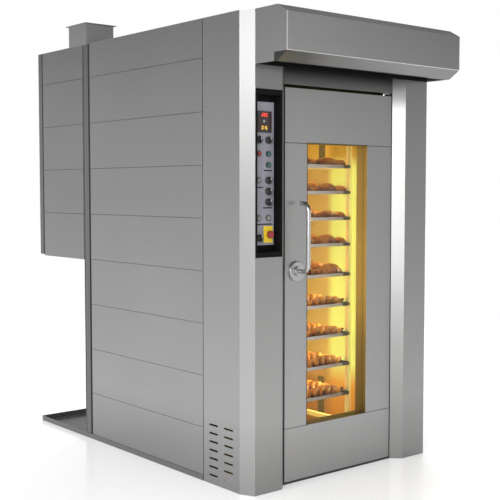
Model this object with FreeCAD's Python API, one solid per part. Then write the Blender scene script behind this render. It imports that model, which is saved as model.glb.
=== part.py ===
import FreeCAD, Part
import math
import os

V = FreeCAD.Vector
X_AXIS = V(1, 0, 0)
Y_AXIS = V(0, 1, 0)
Z_AXIS = V(0, 0, 1)

# Rotating rack oven, all lengths in millimetres.
# Frame: origin on the floor, midway between the sides and midway between hood and base end.
# +Z is up, +X is to the right of someone who faces the door, +Y runs from the door to the back.

# ---------------------------------------------------------------- cabinet
WIDTH = 1345.0               # across the side panels
HEIGHT = 2400.0              # floor to roof
FASCIA_Y = -962.0            # front faces of the two columns
CABINET_DEPTH = 1588.0       # fascia to the back of the main cabinet
COLUMN_DEPTH = 374.0         # fascia to the vertical seam behind each column
CORNER_CUT_X = 37.0          # sloping front corner, across
CORNER_CUT_Y = 76.0          # sloping front corner, front to back
SHEET = 2.0                  # panel sheet
SIDE_SEAM = 5.0              # open joint between a column and the side panels
PANEL_SEAM = 2.0             # open joint between two side panels
FIRST_SEAM_Z = 285.0         # lowest horizontal joint
SEAM_PITCH = 273.4           # from one horizontal joint to the next
PANEL_FOLD = 20.0            # depth of a side panel's folded edges
GROOVE_W = 20.0              # black groove before the rear post
REAR_POST_W = 49.0           # rear post seen from the side
REAR_STRIP_W = 16.0          # black strip behind the rear post
REAR_POST_LINE = 19.0        # fine joint in the rear post, from its front edge
POST_LINE_W = 1.5
FRAME_DEPTH = 60.0           # black posts, from the side panels' outer face inwards
FRONT_POST_W = 30.0
GROOVE_DEPTH = 8.0           # black posts behind the outer face, in the grooves
STRIP_DEPTH = 4.0
BASE_RIM_H = 32.0            # upright rim of the base pan
BASE_SHEET = 3.0
BASE_OVERRUN = 6.0           # base pan past the rear casing
RIM_HOLE_R = 3.0
RIM_HOLE_Z = 13.5
RIM_HOLE_INSET = 12.0        # first screw hole behind the rear post's front edge
PAN_BOLT_R = 8.0
PAN_BOLT_H = 7.0
PAN_BOLT_X = 538.0
PAN_BOLT_INSET = 60.0        # bolts in front of the base pan's rear end

# ---------------------------------------------------------------- rear casing
CASING_DEPTH = 561.0
CASING_BOTTOM_Z = 1099.0
CASING_POST_W = 44.0
CASING_GROOVE_W = 15.0
CASING_POST_LEG = 40.0       # leg of a casing post across the back
POST_FOLD = 25.0             # inner legs of the bright posts
POST_LIFT = 8.0              # rear corner posts end this much above the casing's bottom edge

# ---------------------------------------------------------------- front opening
FASCIA_HALF_IN = 458.0       # inner edge of a column's flat face
SPLAY_HALF_IN = 404.0        # inner edge of the splayed jamb
DOOR_SETBACK = 50.0          # door face behind the fascia
JAMB_HALF = 414.0            # inner face of the jamb behind the splay
HEADER_BOTTOM_Z = 2059.0
SILL_H = 10.0
GASKET_D = 15.0              # gasket between door and chamber front

# ---------------------------------------------------------------- hood
HOOD_HALF_W = 634.0
HOOD_REACH = 231.0
HOOD_BOTTOM_Z = 2135.0
HOOD_CUT_Y = 69.0            # sloping edges, front to back
HOOD_TOP_CUT_Z = 39.0
HOOD_LOW_CUT_Z = 45.0
HOOD_LIP = 25.0              # lip behind the lower sloping edge
HOOD_BACK_GAP = 1.0
SOFFIT_LIFT = 40.0           # soffit of the door recess above the hood's lower edge

# ---------------------------------------------------------------- chamber
CHAMBER_HALF_W = 562.5
CHAMBER_FLOOR_Z = 16.0
CHAMBER_CEILING_Z = 1990.0
MOUTH_HALF_W = 345.0
MOUTH_BOTTOM_Z = 30.0
CHAMBER_FRONT_Y = -718.0     # inner face of the chamber's front wall
CHAMBER_REAR_Y = 250.0       # slotted wall behind the rack
DUCT_REAR_Y = 500.0          # back of the air space
DUCT_CORNER = 190.0          # leg of the sloping duct panel in each rear corner
DUCT_SLOTS = 9
DUCT_SLOT_Z = 200.0
DUCT_SLOT_PITCH = 195.0
DUCT_SLOT_H = 22.0
DUCT_SLOT_END = 50.0         # sheet left at each end of a slot
SUCTION_R = 190.0
DECK_Z = 2092.0              # deck over the ceiling insulation
INSULATION_GAP = 0.3

# ---------------------------------------------------------------- door
DOOR_HALF_W = 396.0
DOOR_BOTTOM_Z = 12.0
DOOR_TOP_Z = 2043.0
DOOR_THICK = 80.0
WINDOW_LEFT_X = -239.5
WINDOW_RIGHT_X = 205.0
WINDOW_BOTTOM_Z = 291.0
WINDOW_TOP_Z = 1764.0
SKIN_SEAM = 3.0
OUTER_GLASS_RECESS = 28.0
INNER_GLASS_RECESS = 66.0
GLASS_THICK = 6.0
GASKET_W = 17.0
PIVOT_X = 365.0
PIVOT_BACK = 30.0            # pivot axis behind the door's face
PIVOT_R = 8.0
PIVOT_REACH = 34.0           # pivot pin inside the door
PIVOT_PLATE_REACH = 24.0
PIVOT_PLATE_HALF_D = 18.0
PIVOT_PLATE_T = 4.0
STRIKE_D = 16.0
STRIKE_HALF_H = 35.0
BUSH_R = 15.0
BUSH_LEN = 40.0

# ---------------------------------------------------------------- handle
HANDLE_X = -318.0
HANDLE_Z = 1106.0
ROSETTE_R = 52.0
ROSETTE_THICK = 14.0
ROSETTE_EDGE_R = 4.0
COLLAR_R = 25.0              # raised collar on the rosette
COLLAR_H = 12.0
HANDLE_TUBE_R = 11.0
HANDLE_REACH = 93.0          # bar centre in front of the door's face
HANDLE_RISE = 350.0
HANDLE_BEND_R = 40.0
HANDLE_END_GAP = 35.0        # free end in front of the door's face
SPINDLE_R = 7.0
CAM_BACK = 42.0              # latch cam's front face behind the door's face
CAM_THICK = 8.0
CAM_REACH = 84.0
CAM_HALF_W = 12.0
CAM_ROOM = 4.0
CAM_SLOT_TOP = 46.0          # slot in the door's edge above the spindle

# ---------------------------------------------------------------- clearances
RUNNING = 0.05               # radial, shafts in bearings
LOOSE = 0.3                  # between pieces that move past each other

# ---------------------------------------------------------------- control panel
BEZEL_LEFT_X = -633.0
BEZEL_RIGHT_X = -460.0
BEZEL_BOTTOM_Z = 1190.0
BEZEL_TOP_Z = 2019.0
BEZEL_SIDE = 9.0
BEZEL_END = 26.0
BEZEL_SCREW = 10.0           # screws in from the bezel's ends
BEZEL_PROUD = 3.0
RECESS_DEPTH = 45.0          # control plate behind the fascia
PLATE_THICK = 3.0
PLATE_MARGIN_X = 7.0
PLATE_MARGIN_Z = 33.0
CONTROL_LEFT_X = -577.0      # left row of controls
CONTROL_RIGHT_X = -514.0     # right row of controls
KNOB_R = 18.0
KNOB_H = 24.0
KNOB_GRIP_W = 7.0
KNOB_GRIP_H = 10.0
KNOB_SHAFT_R = 3.0
BUTTON_R = 11.0
BUTTON_RING_R = 15.0
BUTTON_RING_H = 7.0
BUTTON_PROUD = 4.0
BUTTON_STEM_R = 4.0
STEM_LEN = 18.0              # stems and shafts behind the plate's face
MUSHROOM_R = 19.0
MUSHROOM_H = 14.0
MUSHROOM_LIFT = 20.0
STOP_PLATE_W = 59.0
STOP_PLATE_H = 82.0
STOP_COLLAR_R = 14.0
STOP_COLLAR_H = 8.0
DISPLAY_W = 90.0
DISPLAY_H = 105.0
DISPLAY_THICK = 6.0
DISPLAY_WINDOWS = [(1896.0, 22.0), (1832.5, 18.0)]
DISPLAY_WINDOW_HALF_W = 32.0
DISPLAY_X = -541.5
DISPLAY_Z = 1861.5
SET_BUTTON_R = 7.0
SET_BUTTON_H = 6.0
SET_BUTTON_X = -546.5
SET_BUTTON_Z = 1864.0
BLOCK_DEPTH = 40.0           # contact blocks behind the control plate
BLOCK_HALF = 17.0
SCREW_R = 4.0
SCREW_H = 2.0

KNOBS = {
    "knob_upper_left": (CONTROL_LEFT_X, 1772.0),
    "knob_upper_right": (CONTROL_RIGHT_X, 1772.0),
    "knob_steam": (CONTROL_RIGHT_X, 1572.0),
    "knob_fan": (CONTROL_RIGHT_X, 1517.0),
    "knob_light": (CONTROL_RIGHT_X, 1463.0),
    "knob_main_switch": (CONTROL_LEFT_X + 5.0, 1285.0),
}
BUTTONS = {
    "button_red": (CONTROL_LEFT_X, 1704.0),
    "button_green_upper": (CONTROL_RIGHT_X, 1704.0),
    "button_green_lower": (CONTROL_RIGHT_X, 1649.0),
}
LAMPS = [(CONTROL_LEFT_X, 1572.0), (CONTROL_LEFT_X, 1384.0), (CONTROL_RIGHT_X, 1384.0)]
STOP_AT = (CONTROL_RIGHT_X, 1302.0)

# ---------------------------------------------------------------- vents in the left column
VENT_FRONTS = [-833.0, -709.0]   # front ends of the two columns of slots
VENT_LEN = 73.0
VENT_H = 9.5
VENT_ROWS = 7
VENT_LOW_Z = 47.0
VENT_PITCH = 44.0

# ---------------------------------------------------------------- flue
FLUE_W = 190.0
FLUE_D = 210.0
FLUE_FRONT_Y = 574.0
FLUE_TOP_Z = 2527.0
FLUE_FLANGE = 14.0           # flange past the casing all round
FLUE_FLANGE_T = 4.0
FLUE_HOLE_R = 4.5
FLUE_HOLE_INSET = 7.0
FLUE_PIPE_R = 60.0
FLUE_PIPE_WALL = 2.0
FLUE_PIPE_DIP = 60.0         # pipe's closed foot below the exchanger's top
FLUE_ELBOW_R = 36.0
FLUE_ELBOW_Z = 45.0          # elbow above that foot
FLUE_ELBOW_Y = 30.0
FLUE_PIPE_BACK = 132.0       # pipe centre behind the casing's front

# ---------------------------------------------------------------- heat exchanger and burner plate
EXCHANGER_HALF_W = 480.0
EXCHANGER_FRONT = 90.0       # behind the main cabinet's back
EXCHANGER_BACK = 90.0        # in front of the casing's back
EXCHANGER_BOTTOM_Z = 1560.0
EXCHANGER_TOP_Z = 2300.0
EXCHANGER_HEADER_W = 110.0
EXCHANGER_WALL = 3.0
TUBE_R = 30.0                # exchanger tubes
TUBE_SHEET = 2.5
TUBE_PITCH = 63.0
BARREL_R = 84.0              # combustion barrel behind the burner plate
BARREL_WALL = 6.0
TUBE_ROWS = 5
TUBE_COLUMNS = 4
BURNER_Z = 1930.0
BURNER_PLATE_HALF = 130.0
BURNER_PORT_R = 60.0
BURNER_PCD = 190.0
BURNER_HOLE_R = 5.5
BURNER_HOLES = 4

# ---------------------------------------------------------------- cable gland and water inlet
INLET_Z = 700.0
INLET_FLANGE = 1.5           # flange radius over the stub's
INLET_FLANGE_T = 6.0
INLETS = [(420.0, 11.0, 6.5, 14.0), (500.0, 10.5, 7.5, 20.0)]   # x, outer radius, bore, length

# ---------------------------------------------------------------- circulation fan
FAN_Z = 1300.0
FAN_R = 210.0
FAN_W = 110.0
FAN_FRONT_Y = 290.0
FAN_BLADES = 8
FAN_PLATE = 3.0
FAN_RING_R = 150.0
FAN_BLADE_IN = 30.0          # blades reach this far inside the front ring
FAN_HUB_LEN = 60.0
FAN_SHAFT_SEAT = 60.0        # shaft inside the motor
FAN_SHAFT_R = 14.0
SHAFT_ROOM = 7.0             # radial, where a shaft passes through a panel
MOTOR_R = 95.0
MOTOR_LEN = 240.0
MOTOR_COWL_R = 86.0
MOTOR_COWL_LEN = 40.0
MOTOR_FOOT_FRONT = 20.0
MOTOR_FOOT_BACK = 30.0
MOTOR_GAP = 30.0             # motor behind the main cabinet's back

# ---------------------------------------------------------------- turntable, rack and trays
TRAY_W = 600.0
TRAY_D = 800.0
TRAY_H = 18.0
TRAY_SHEET = 1.5
TRAY_FRONT_Y = -692.5
TOP_TRAY_Z = 1648.0
UPPER_TRAYS = 4
UPPER_PITCH = 147.0
LOWER_TRAYS = 5
LOWER_PITCH = 172.0
TABLE_R = 500.0
TABLE_THICK = 6.0
TABLE_LIFT = 8.0             # turntable's underside above the chamber floor
BEARING_R = 80.0
TUBE = 25.0                  # rack tube, square
TUBE_WALL = 1.5
TRAY_PLAY = 3.0              # between a tray and the rack's tubes
RAIL_W = 18.0
RAIL_SHEET = 2.0
RACK_SETBACK = 15.0          # front tubes behind the trays' front edge
WHEEL_R = 50.0
WHEEL_W = 32.0
AXLE_R = 6.0
FORK_SHEET = 4.0
FORK_PLAY = 1.5
CASTOR_TRAIL = 28.0
STEM_R = 10.0
STEM_SEAT = 12.0             # solid top of a castor socket over the stem
SOCKET_R = 20.0
SWIVELS = ("front_left", "front_right")
CASTOR_INSET = 90.0
RACK_BASE_Z = 165.0
RACK_TOP_Z = 1810.0
LUG_W = 70.0
LUG_THICK = 12.0
LUG_H = 50.0

# ---------------------------------------------------------------- rotor drive
SHAFT_R = 20.0
SHAFT_TOP_Z = 2190.0
FORK_HEAD_R = 55.0
FORK_HEAD_H = 30.0
FORK_DROP = 38.0
PRONG_HALF_W = 30.0
PRONG_THICK = 12.0
GEAR_HOLES = 6               # lightening holes in the large gear
GEAR_HOLE_R = 32.0
GEAR_HOLE_AT = 95.0
GEAR_MODULE = 5.0
GEAR_TEETH = 64
PINION_TEETH = 16
GEAR_WIDTH = 28.0
PINION_EXTRA = 4.0
GEAR_Z = 2130.0
GEAR_BACKLASH = 0.7
PRESSURE_ANGLE = math.radians(20.0)
DRIVE_PLATE_Z = 2176.0
DRIVE_PLATE_T = 8.0
PINION_SHAFT_R = 12.0
GEARBOX_HALF = 70.0
GEARBOX_H = 110.0
DRIVE_MOTOR_R = 60.0
DRIVE_MOTOR_LEN = 210.0
PINION_SHAFT_SEAT = 50.0     # pinion shaft inside the gearbox
BRACKET_REACH = 30.0         # bracket past the gearbox
BRACKET_SIDE = 10.0
BRACKET_FOOT = 50.0
BEARING_FLANGE_R = 65.0
BEARING_FLANGE_T = 10.0
BEARING_NECK_R = 41.0
BEARING_NECK_H = 30.0

# ---------------------------------------------------------------- steam generator, lamps, bread
STEAM_HALF_W = 380.0
STEAM_BOTTOM_Z = 70.0
STEAM_ROWS = 7
STEAM_BARS = 4
STEAM_BAR = 26.0
STEAM_END = 4.0              # end plates that the bars stand between
STEAM_ROW_PITCH = 105.0
STEAM_BAR_PITCH = 46.0
LAMP_H = 420.0
LAMP_W = 60.0
LAMP_D = 40.0
LAMP_X = 470.0
LAMP_EDGE_R = 8.0
LAMP_ZS = [560.0, 1230.0]
ROLL_LEN = 176.0
ROLL_R = 58.0
ROLL_H = 66.0
LOAF_LEN = 262.0
LOAF_R = 62.0
LOAF_H = 84.0
LOAF_STATIONS = (-1.0, -0.84, -0.45, 0.0, 0.45, 0.84, 1.0)
LOAF_FULLNESS = 0.97         # below 1 leaves a small flat end
LOAF_SIDES = 12
BUN_LEN = 110.0
BUN_R = 50.0
BUN_H = 74.0

# ---------------------------------------------------------------- values worked out from those
HALF_W = WIDTH / 2
COLUMN_BACK_Y = FASCIA_Y + COLUMN_DEPTH
BACK_Y = FASCIA_Y + CABINET_DEPTH
POST_BACK_Y = BACK_Y - REAR_STRIP_W
POST_FRONT_Y = POST_BACK_Y - REAR_POST_W
PANEL_END_Y = POST_FRONT_Y - GROOVE_W
PANEL_START_Y = COLUMN_BACK_Y + SIDE_SEAM
CASING_END_Y = BACK_Y + CASING_DEPTH
CASING_POST_Y = CASING_END_Y - CASING_POST_W
CASING_PANEL_END_Y = CASING_POST_Y - CASING_GROOVE_W
BASE_END_Y = CASING_END_Y + BASE_OVERRUN
ROOF_Z = HEIGHT - SHEET
HOOD_FRONT_Y = FASCIA_Y - HOOD_REACH
DOOR_Y = FASCIA_Y + DOOR_SETBACK
DOOR_BACK_Y = DOOR_Y + DOOR_THICK
FRAME_FACE_Y = DOOR_BACK_Y + GASKET_D
PIVOT_Y = DOOR_Y + PIVOT_BACK
HANDLE_BAR_Y = DOOR_Y - HANDLE_REACH
CAM_Y = DOOR_Y + CAM_BACK
PLATE_Y = FASCIA_Y + RECESS_DEPTH
PLATE_LEFT_X = BEZEL_LEFT_X + BEZEL_SIDE + PLATE_MARGIN_X
PLATE_RIGHT_X = BEZEL_RIGHT_X - BEZEL_SIDE - PLATE_MARGIN_X
PLATE_BOTTOM_Z = BEZEL_BOTTOM_Z + BEZEL_END + PLATE_MARGIN_Z
PLATE_TOP_Z = BEZEL_TOP_Z - BEZEL_END - PLATE_MARGIN_Z
ROTOR_Y = TRAY_FRONT_Y + TRAY_D / 2
TABLE_TOP_Z = CHAMBER_FLOOR_Z + TABLE_LIFT + TABLE_THICK
AXLE_Z = TABLE_TOP_Z + LOOSE + WHEEL_R
FORK_PLATE_Z = AXLE_Z + WHEEL_R + FORK_SHEET
SOCKET_Z = FORK_PLATE_Z + FORK_SHEET + LOOSE
TUBE_X = TRAY_W / 2 + TRAY_PLAY + TUBE / 2
RACK_FRONT_Y = TRAY_FRONT_Y + RACK_SETBACK
RACK_BACK_Y = TRAY_FRONT_Y + TRAY_D - RACK_SETBACK
GEAR_SPACING = GEAR_MODULE * (GEAR_TEETH + PINION_TEETH) / 2
PINION_X = GEAR_SPACING
FLUE_LEFT_X = -HALF_W
FLUE_X = FLUE_LEFT_X + FLUE_W / 2
FLUE_PIPE_Y = FLUE_FRONT_Y + FLUE_PIPE_BACK
SEAM_ZS = [FIRST_SEAM_Z + SEAM_PITCH * i for i in range(8)]
TRAY_ZS = [TOP_TRAY_Z - UPPER_PITCH * i for i in range(UPPER_TRAYS)]
TRAY_ZS += [TRAY_ZS[-1] - LOWER_PITCH * (i + 1) for i in range(LOWER_TRAYS)]


# ================================================================ shape helpers
def box(x0, x1, y0, y1, z0, z1):
    """Box between two corners."""
    return Part.makeBox(x1 - x0, y1 - y0, z1 - z0, V(x0, y0, z0))


def rod(radius, x, y, z, length, axis):
    """Cylinder that starts at a point and runs along an axis."""
    return Part.makeCylinder(radius, length, V(x, y, z), axis)


def prism(points, direction):
    """Solid swept from a flat outline."""
    wire = Part.makePolygon(points + [points[0]])
    return Part.Face(wire).extrude(direction)


def fuse(shapes):
    """One solid out of touching shapes."""
    whole = shapes[0].multiFuse(shapes[1:]) if len(shapes) > 1 else shapes[0]
    return whole.removeSplitter()


def mirror_x(shape):
    """The same shape on the other side of the middle."""
    return shape.mirror(V(0, 0, 0), X_AXIS)


def tube_box(x0, x1, y0, y1, z0, z1, wall, along):
    """Square tube, open at both ends along X, Y or Z."""
    outer = box(x0, x1, y0, y1, z0, z1)
    dx = 0 if along == "x" else wall
    dy = 0 if along == "y" else wall
    dz = 0 if along == "z" else wall
    return outer.cut(box(x0 + dx, x1 - dx, y0 + dy, y1 - dy, z0 + dz, z1 - dz))


def offset_path(points, distance):
    """Open path moved sideways to its left, with its corners kept sharp."""
    moved = []
    for i, (x, y) in enumerate(points):
        before = points[i - 1] if i > 0 else None
        after = points[i + 1] if i + 1 < len(points) else None
        normals = []
        for a, b in ((before, (x, y)), ((x, y), after)):
            if a is None or b is None:
                continue
            length = math.hypot(b[0] - a[0], b[1] - a[1])
            normals.append((-(b[1] - a[1]) / length, (b[0] - a[0]) / length))
        nx = sum(n[0] for n in normals)
        ny = sum(n[1] for n in normals)
        scale = distance * len(normals) / (nx * nx + ny * ny)
        moved.append((x + nx * scale, y + ny * scale))
    return moved


def folded_sheet(points, thickness, z0, z1):
    """Upright sheet folded along a path seen from above."""
    outline = points + offset_path(points, thickness)[::-1]
    return prism([V(x, y, z0) for x, y in outline], V(0, 0, z1 - z0))


def save(name, shapes):
    """Write one node from one or more separate solids."""
    solids = []
    for shape in shapes:
        solids.extend(shape.Solids)
    for solid in solids:
        if not solid.isValid() or solid.Volume <= 0:
            raise ValueError("bad solid in " + name)
    Part.makeCompound(solids).exportStep("parts/%s.step" % name)
    print("%-24s %4d solids  %10.1f cm3" % (name, len(solids), sum(s.Volume for s in solids) / 1000))


# ================================================================ cabinet shell
def pan_panel(side, y0, y1, z0, z1):
    """Side panel with its edges folded inwards; side is -1 for left and 1 for right."""
    outer = box(-HALF_W, -HALF_W + PANEL_FOLD, y0, y1, z0, z1)
    inner = box(-HALF_W + SHEET, -HALF_W + PANEL_FOLD, y0 + SHEET, y1 - SHEET, z0 + SHEET, z1 - SHEET)
    panel = outer.cut(inner)
    return panel if side < 0 else mirror_x(panel)


def panel_levels(bottom_z):
    """Lower and upper edges of the side panels above a height."""
    edges = [bottom_z] + [z for z in SEAM_ZS if z > bottom_z + PANEL_FOLD] + [ROOF_Z]
    levels = []
    for low, high in zip(edges, edges[1:]):
        start = low if low == bottom_z else low + PANEL_SEAM / 2
        end = high if high == ROOF_Z else high - PANEL_SEAM / 2
        levels.append((start, end))
    return levels


def side_panels(side):
    return [pan_panel(side, PANEL_START_Y, PANEL_END_Y, z0, z1) for z0, z1 in panel_levels(BASE_RIM_H)]


def column_path():
    """Outer face of the left column, from its rear edge round to the splayed jamb."""
    return [
        (-HALF_W, COLUMN_BACK_Y),
        (-HALF_W, FASCIA_Y + CORNER_CUT_Y),
        (-HALF_W + CORNER_CUT_X, FASCIA_Y),
        (-FASCIA_HALF_IN, FASCIA_Y),
        (-SPLAY_HALF_IN, DOOR_Y),
    ]


def plain_column():
    sheet = folded_sheet(column_path(), SHEET, 0, ROOF_Z)
    lip = box(-JAMB_HALF - SHEET, -SPLAY_HALF_IN, DOOR_Y, DOOR_Y + SHEET, 0, ROOF_Z)
    jamb = box(-JAMB_HALF - SHEET, -JAMB_HALF, DOOR_Y, FRAME_FACE_Y, 0, ROOF_Z)
    return fuse([sheet, lip, jamb])


def vent_slot(y0, z):
    """Cutter for one slot with rounded ends."""
    r = VENT_H / 2
    depth = 4 * SHEET
    x0 = -HALF_W - SHEET
    middle = box(x0, x0 + depth, y0 + r, y0 + VENT_LEN - r, z - r, z + r)
    ends = [rod(r, x0, y, z, depth, X_AXIS) for y in (y0 + r, y0 + VENT_LEN - r)]
    return fuse([middle] + ends)


def left_column():
    column = plain_column()
    cutters = [vent_slot(y, VENT_LOW_Z + VENT_PITCH * i) for y in VENT_FRONTS for i in range(VENT_ROWS)]
    cutters.append(box(
        BEZEL_LEFT_X + BEZEL_SIDE - SHEET, BEZEL_RIGHT_X - BEZEL_SIDE + SHEET,
        FASCIA_Y - SHEET, FASCIA_Y + 2 * SHEET,
        BEZEL_BOTTOM_Z + BEZEL_END - SHEET, BEZEL_TOP_Z - BEZEL_END + SHEET))
    return column.cut(cutters)


def base_pan():
    """Sheet floor with an upright rim at the sides and back."""
    floor = box(-HALF_W, HALF_W, COLUMN_BACK_Y + SIDE_SEAM, BASE_END_Y, 0, BASE_SHEET)
    sides = []
    for x0 in (-HALF_W, HALF_W - BASE_SHEET):
        rim = box(x0, x0 + BASE_SHEET, COLUMN_BACK_Y + SIDE_SEAM, BASE_END_Y, 0, BASE_RIM_H - PANEL_SEAM)
        for y in (POST_FRONT_Y + RIM_HOLE_INSET, POST_BACK_Y):
            rim = rim.cut(rod(RIM_HOLE_R, x0 - 1, y, RIM_HOLE_Z, BASE_SHEET + 2, X_AXIS))
        sides.append(rim)
    back = box(-HALF_W, HALF_W, BASE_END_Y - BASE_SHEET, BASE_END_Y, 0, BASE_RIM_H - PANEL_SEAM)
    bolts = [rod(PAN_BOLT_R, x, BASE_END_Y - PAN_BOLT_INSET, BASE_SHEET, PAN_BOLT_H, Z_AXIS)
             for x in (-PAN_BOLT_X, 0, PAN_BOLT_X)]
    step_x = HALF_W - FRAME_DEPTH
    step = box(-step_x, step_x, BACK_Y - SHEET - BASE_SHEET, BACK_Y - SHEET, BASE_SHEET, BASE_RIM_H)
    return [fuse([floor, back, step] + sides)] + bolts


def black_frame():
    """Black posts that show in the grooves, and the sill under the door."""
    pieces = []
    x_in = -HALF_W + FRAME_DEPTH
    places = (
        (GROOVE_DEPTH, PANEL_END_Y, POST_FRONT_Y, BASE_SHEET),
        (STRIP_DEPTH, POST_BACK_Y, BACK_Y - SHEET, BASE_SHEET),
        (GROOVE_DEPTH, COLUMN_BACK_Y - FRONT_POST_W, PANEL_START_Y, 0),
    )
    for depth, y0, y1, z0 in places:
        post = tube_box(-HALF_W + depth, x_in, y0, y1, z0, ROOF_Z, SHEET, "z")
        pieces += [post, mirror_x(post)]
    pieces.append(box(-SPLAY_HALF_IN, SPLAY_HALF_IN, DOOR_Y, FRAME_FACE_Y, 0, SILL_H))
    return pieces


def rear_posts():
    """Bright posts at the back corners of the main cabinet and of the rear casing."""
    pieces = []
    seam_y = POST_FRONT_Y + REAR_POST_LINE
    spans = [(POST_FRONT_Y, seam_y - POST_LINE_W / 2), (seam_y + POST_LINE_W / 2, POST_BACK_Y)]
    for y0, y1 in spans:
        pieces.append(folded_channel(y0, y1, BASE_RIM_H, ROOF_Z))
    casing = folded_sheet(
        [(-HALF_W + CASING_POST_LEG, CASING_END_Y), (-HALF_W, CASING_END_Y), (-HALF_W, CASING_POST_Y),
         (-HALF_W + POST_FOLD, CASING_POST_Y)],
        SHEET, CASING_BOTTOM_Z + POST_LIFT, ROOF_Z)
    pieces.append(casing)
    return pieces + [mirror_x(piece) for piece in pieces]


def folded_channel(y0, y1, z0, z1):
    """Upright channel that opens inwards."""
    outer = box(-HALF_W, -HALF_W + POST_FOLD, y0, y1, z0, z1)
    return outer.cut(box(-HALF_W + SHEET, -HALF_W + POST_FOLD, y0 + SHEET, y1 - SHEET, z0, z1))


def roof_and_back_panels():
    front = [
        V(-HALF_W, PANEL_START_Y, ROOF_Z), V(-HALF_W, FASCIA_Y + CORNER_CUT_Y, ROOF_Z),
        V(-HALF_W + CORNER_CUT_X, FASCIA_Y, ROOF_Z), V(HALF_W - CORNER_CUT_X, FASCIA_Y, ROOF_Z),
        V(HALF_W, FASCIA_Y + CORNER_CUT_Y, ROOF_Z), V(HALF_W, PANEL_START_Y, ROOF_Z),
    ]
    roofs = [prism(front, V(0, 0, SHEET))]
    joint_y = (PANEL_START_Y + BACK_Y) / 2
    roofs.append(box(-HALF_W, HALF_W, PANEL_START_Y + PANEL_SEAM, joint_y, ROOF_Z, HEIGHT))
    roofs.append(box(-HALF_W, HALF_W, joint_y + PANEL_SEAM, BACK_Y, ROOF_Z, HEIGHT))
    roofs.append(box(-HALF_W, HALF_W, BACK_Y + PANEL_SEAM, CASING_END_Y, ROOF_Z, HEIGHT))
    hole = rod(FLUE_PIPE_R + FLUE_PIPE_WALL + LOOSE, FLUE_X, FLUE_PIPE_Y, ROOF_Z - 1, SHEET + 2, Z_AXIS)
    roofs[3] = roofs[3].cut(hole)
    backs = []
    half = HALF_W - SHEET
    middle_z = (BASE_RIM_H + CASING_BOTTOM_Z) / 2
    spans = ((BASE_RIM_H, middle_z), (middle_z + PANEL_SEAM, CASING_BOTTOM_Z))
    for z0, z1 in spans:
        back = box(-half, half, BACK_Y - SHEET, BACK_Y, z0, z1)
        holes = [rod(bore + 1, x, BACK_Y - SHEET - 1, INLET_Z, SHEET + 2, Y_AXIS) for x, outer, bore, length in INLETS]
        backs.append(back.cut(holes))
    upper = box(-half, half, BACK_Y - SHEET, BACK_Y, CASING_BOTTOM_Z + SHEET, ROOF_Z)
    upper = upper.cut(rod(FAN_SHAFT_R + SHAFT_ROOM, 0, BACK_Y - 2 * SHEET, FAN_Z, 3 * SHEET, Y_AXIS))
    return roofs + backs + [upper]


def hood_outline(inset):
    """Hood seen from the side, as points in the YZ plane."""
    back = FASCIA_Y - HOOD_BACK_GAP - SHEET
    front = HOOD_FRONT_Y + inset
    top = HEIGHT - inset
    tilt_top = inset * math.tan(math.atan2(HOOD_TOP_CUT_Z, HOOD_CUT_Y) / 2)
    tilt_low = inset * math.tan(math.atan2(HOOD_LOW_CUT_Z, HOOD_CUT_Y) / 2)
    return [
        (back, top),
        (HOOD_FRONT_Y + HOOD_CUT_Y + tilt_top, top),
        (front, HEIGHT - HOOD_TOP_CUT_Z - tilt_top),
        (front, HOOD_BOTTOM_Z + HOOD_LOW_CUT_Z + tilt_low),
        (HOOD_FRONT_Y + HOOD_CUT_Y + tilt_low, HOOD_BOTTOM_Z),
        (back, HOOD_BOTTOM_Z),
    ]


def hood():
    """Hood of flat sheets that meet at their bends, open underneath, with an end plate at each side."""
    outer = hood_outline(0)
    inner = hood_outline(SHEET)
    w = HOOD_HALF_W - SHEET
    profiles = [[outer[i], outer[i + 1], inner[i + 1], inner[i]] for i in range(len(outer) - 2)]
    slope = (inner[3][0] - inner[4][0]) / (inner[3][1] - inner[4][1])
    lip_end = HOOD_FRONT_Y + HOOD_CUT_Y + HOOD_LIP
    profiles.append([
        inner[4],
        (lip_end, HOOD_BOTTOM_Z),
        (lip_end, HOOD_BOTTOM_Z + SHEET),
        (inner[4][0] + slope * SHEET, HOOD_BOTTOM_Z + SHEET),
    ])
    sheets = [prism([V(-w, y, z) for y, z in profile], V(2 * w, 0, 0)) for profile in profiles]
    for x in (-HOOD_HALF_W, w):
        sheets.append(prism([V(x, y, z) for y, z in outer], V(SHEET, 0, 0)))
    sheets.append(box(-HOOD_HALF_W, HOOD_HALF_W, outer[0][0], FASCIA_Y, HOOD_BOTTOM_Z, HEIGHT))
    return sheets


def door_header():
    """Face over the door and the small soffit that closes the recess under the hood."""
    face = box(-SPLAY_HALF_IN + 1, SPLAY_HALF_IN - 1, DOOR_Y, DOOR_Y + SHEET, HEADER_BOTTOM_Z, ROOF_Z)
    floor = box(-SPLAY_HALF_IN + 1, SPLAY_HALF_IN - 1, DOOR_Y + SHEET, FRAME_FACE_Y, HEADER_BOTTOM_Z,
                HEADER_BOTTOM_Z + SHEET)
    soffit_z = HOOD_BOTTOM_Z + SOFFIT_LIFT
    soffit = box(-SPLAY_HALF_IN + 1, SPLAY_HALF_IN - 1, FASCIA_Y, DOOR_Y, soffit_z, soffit_z + SHEET)
    return [fuse([face, floor, soffit])]


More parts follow.
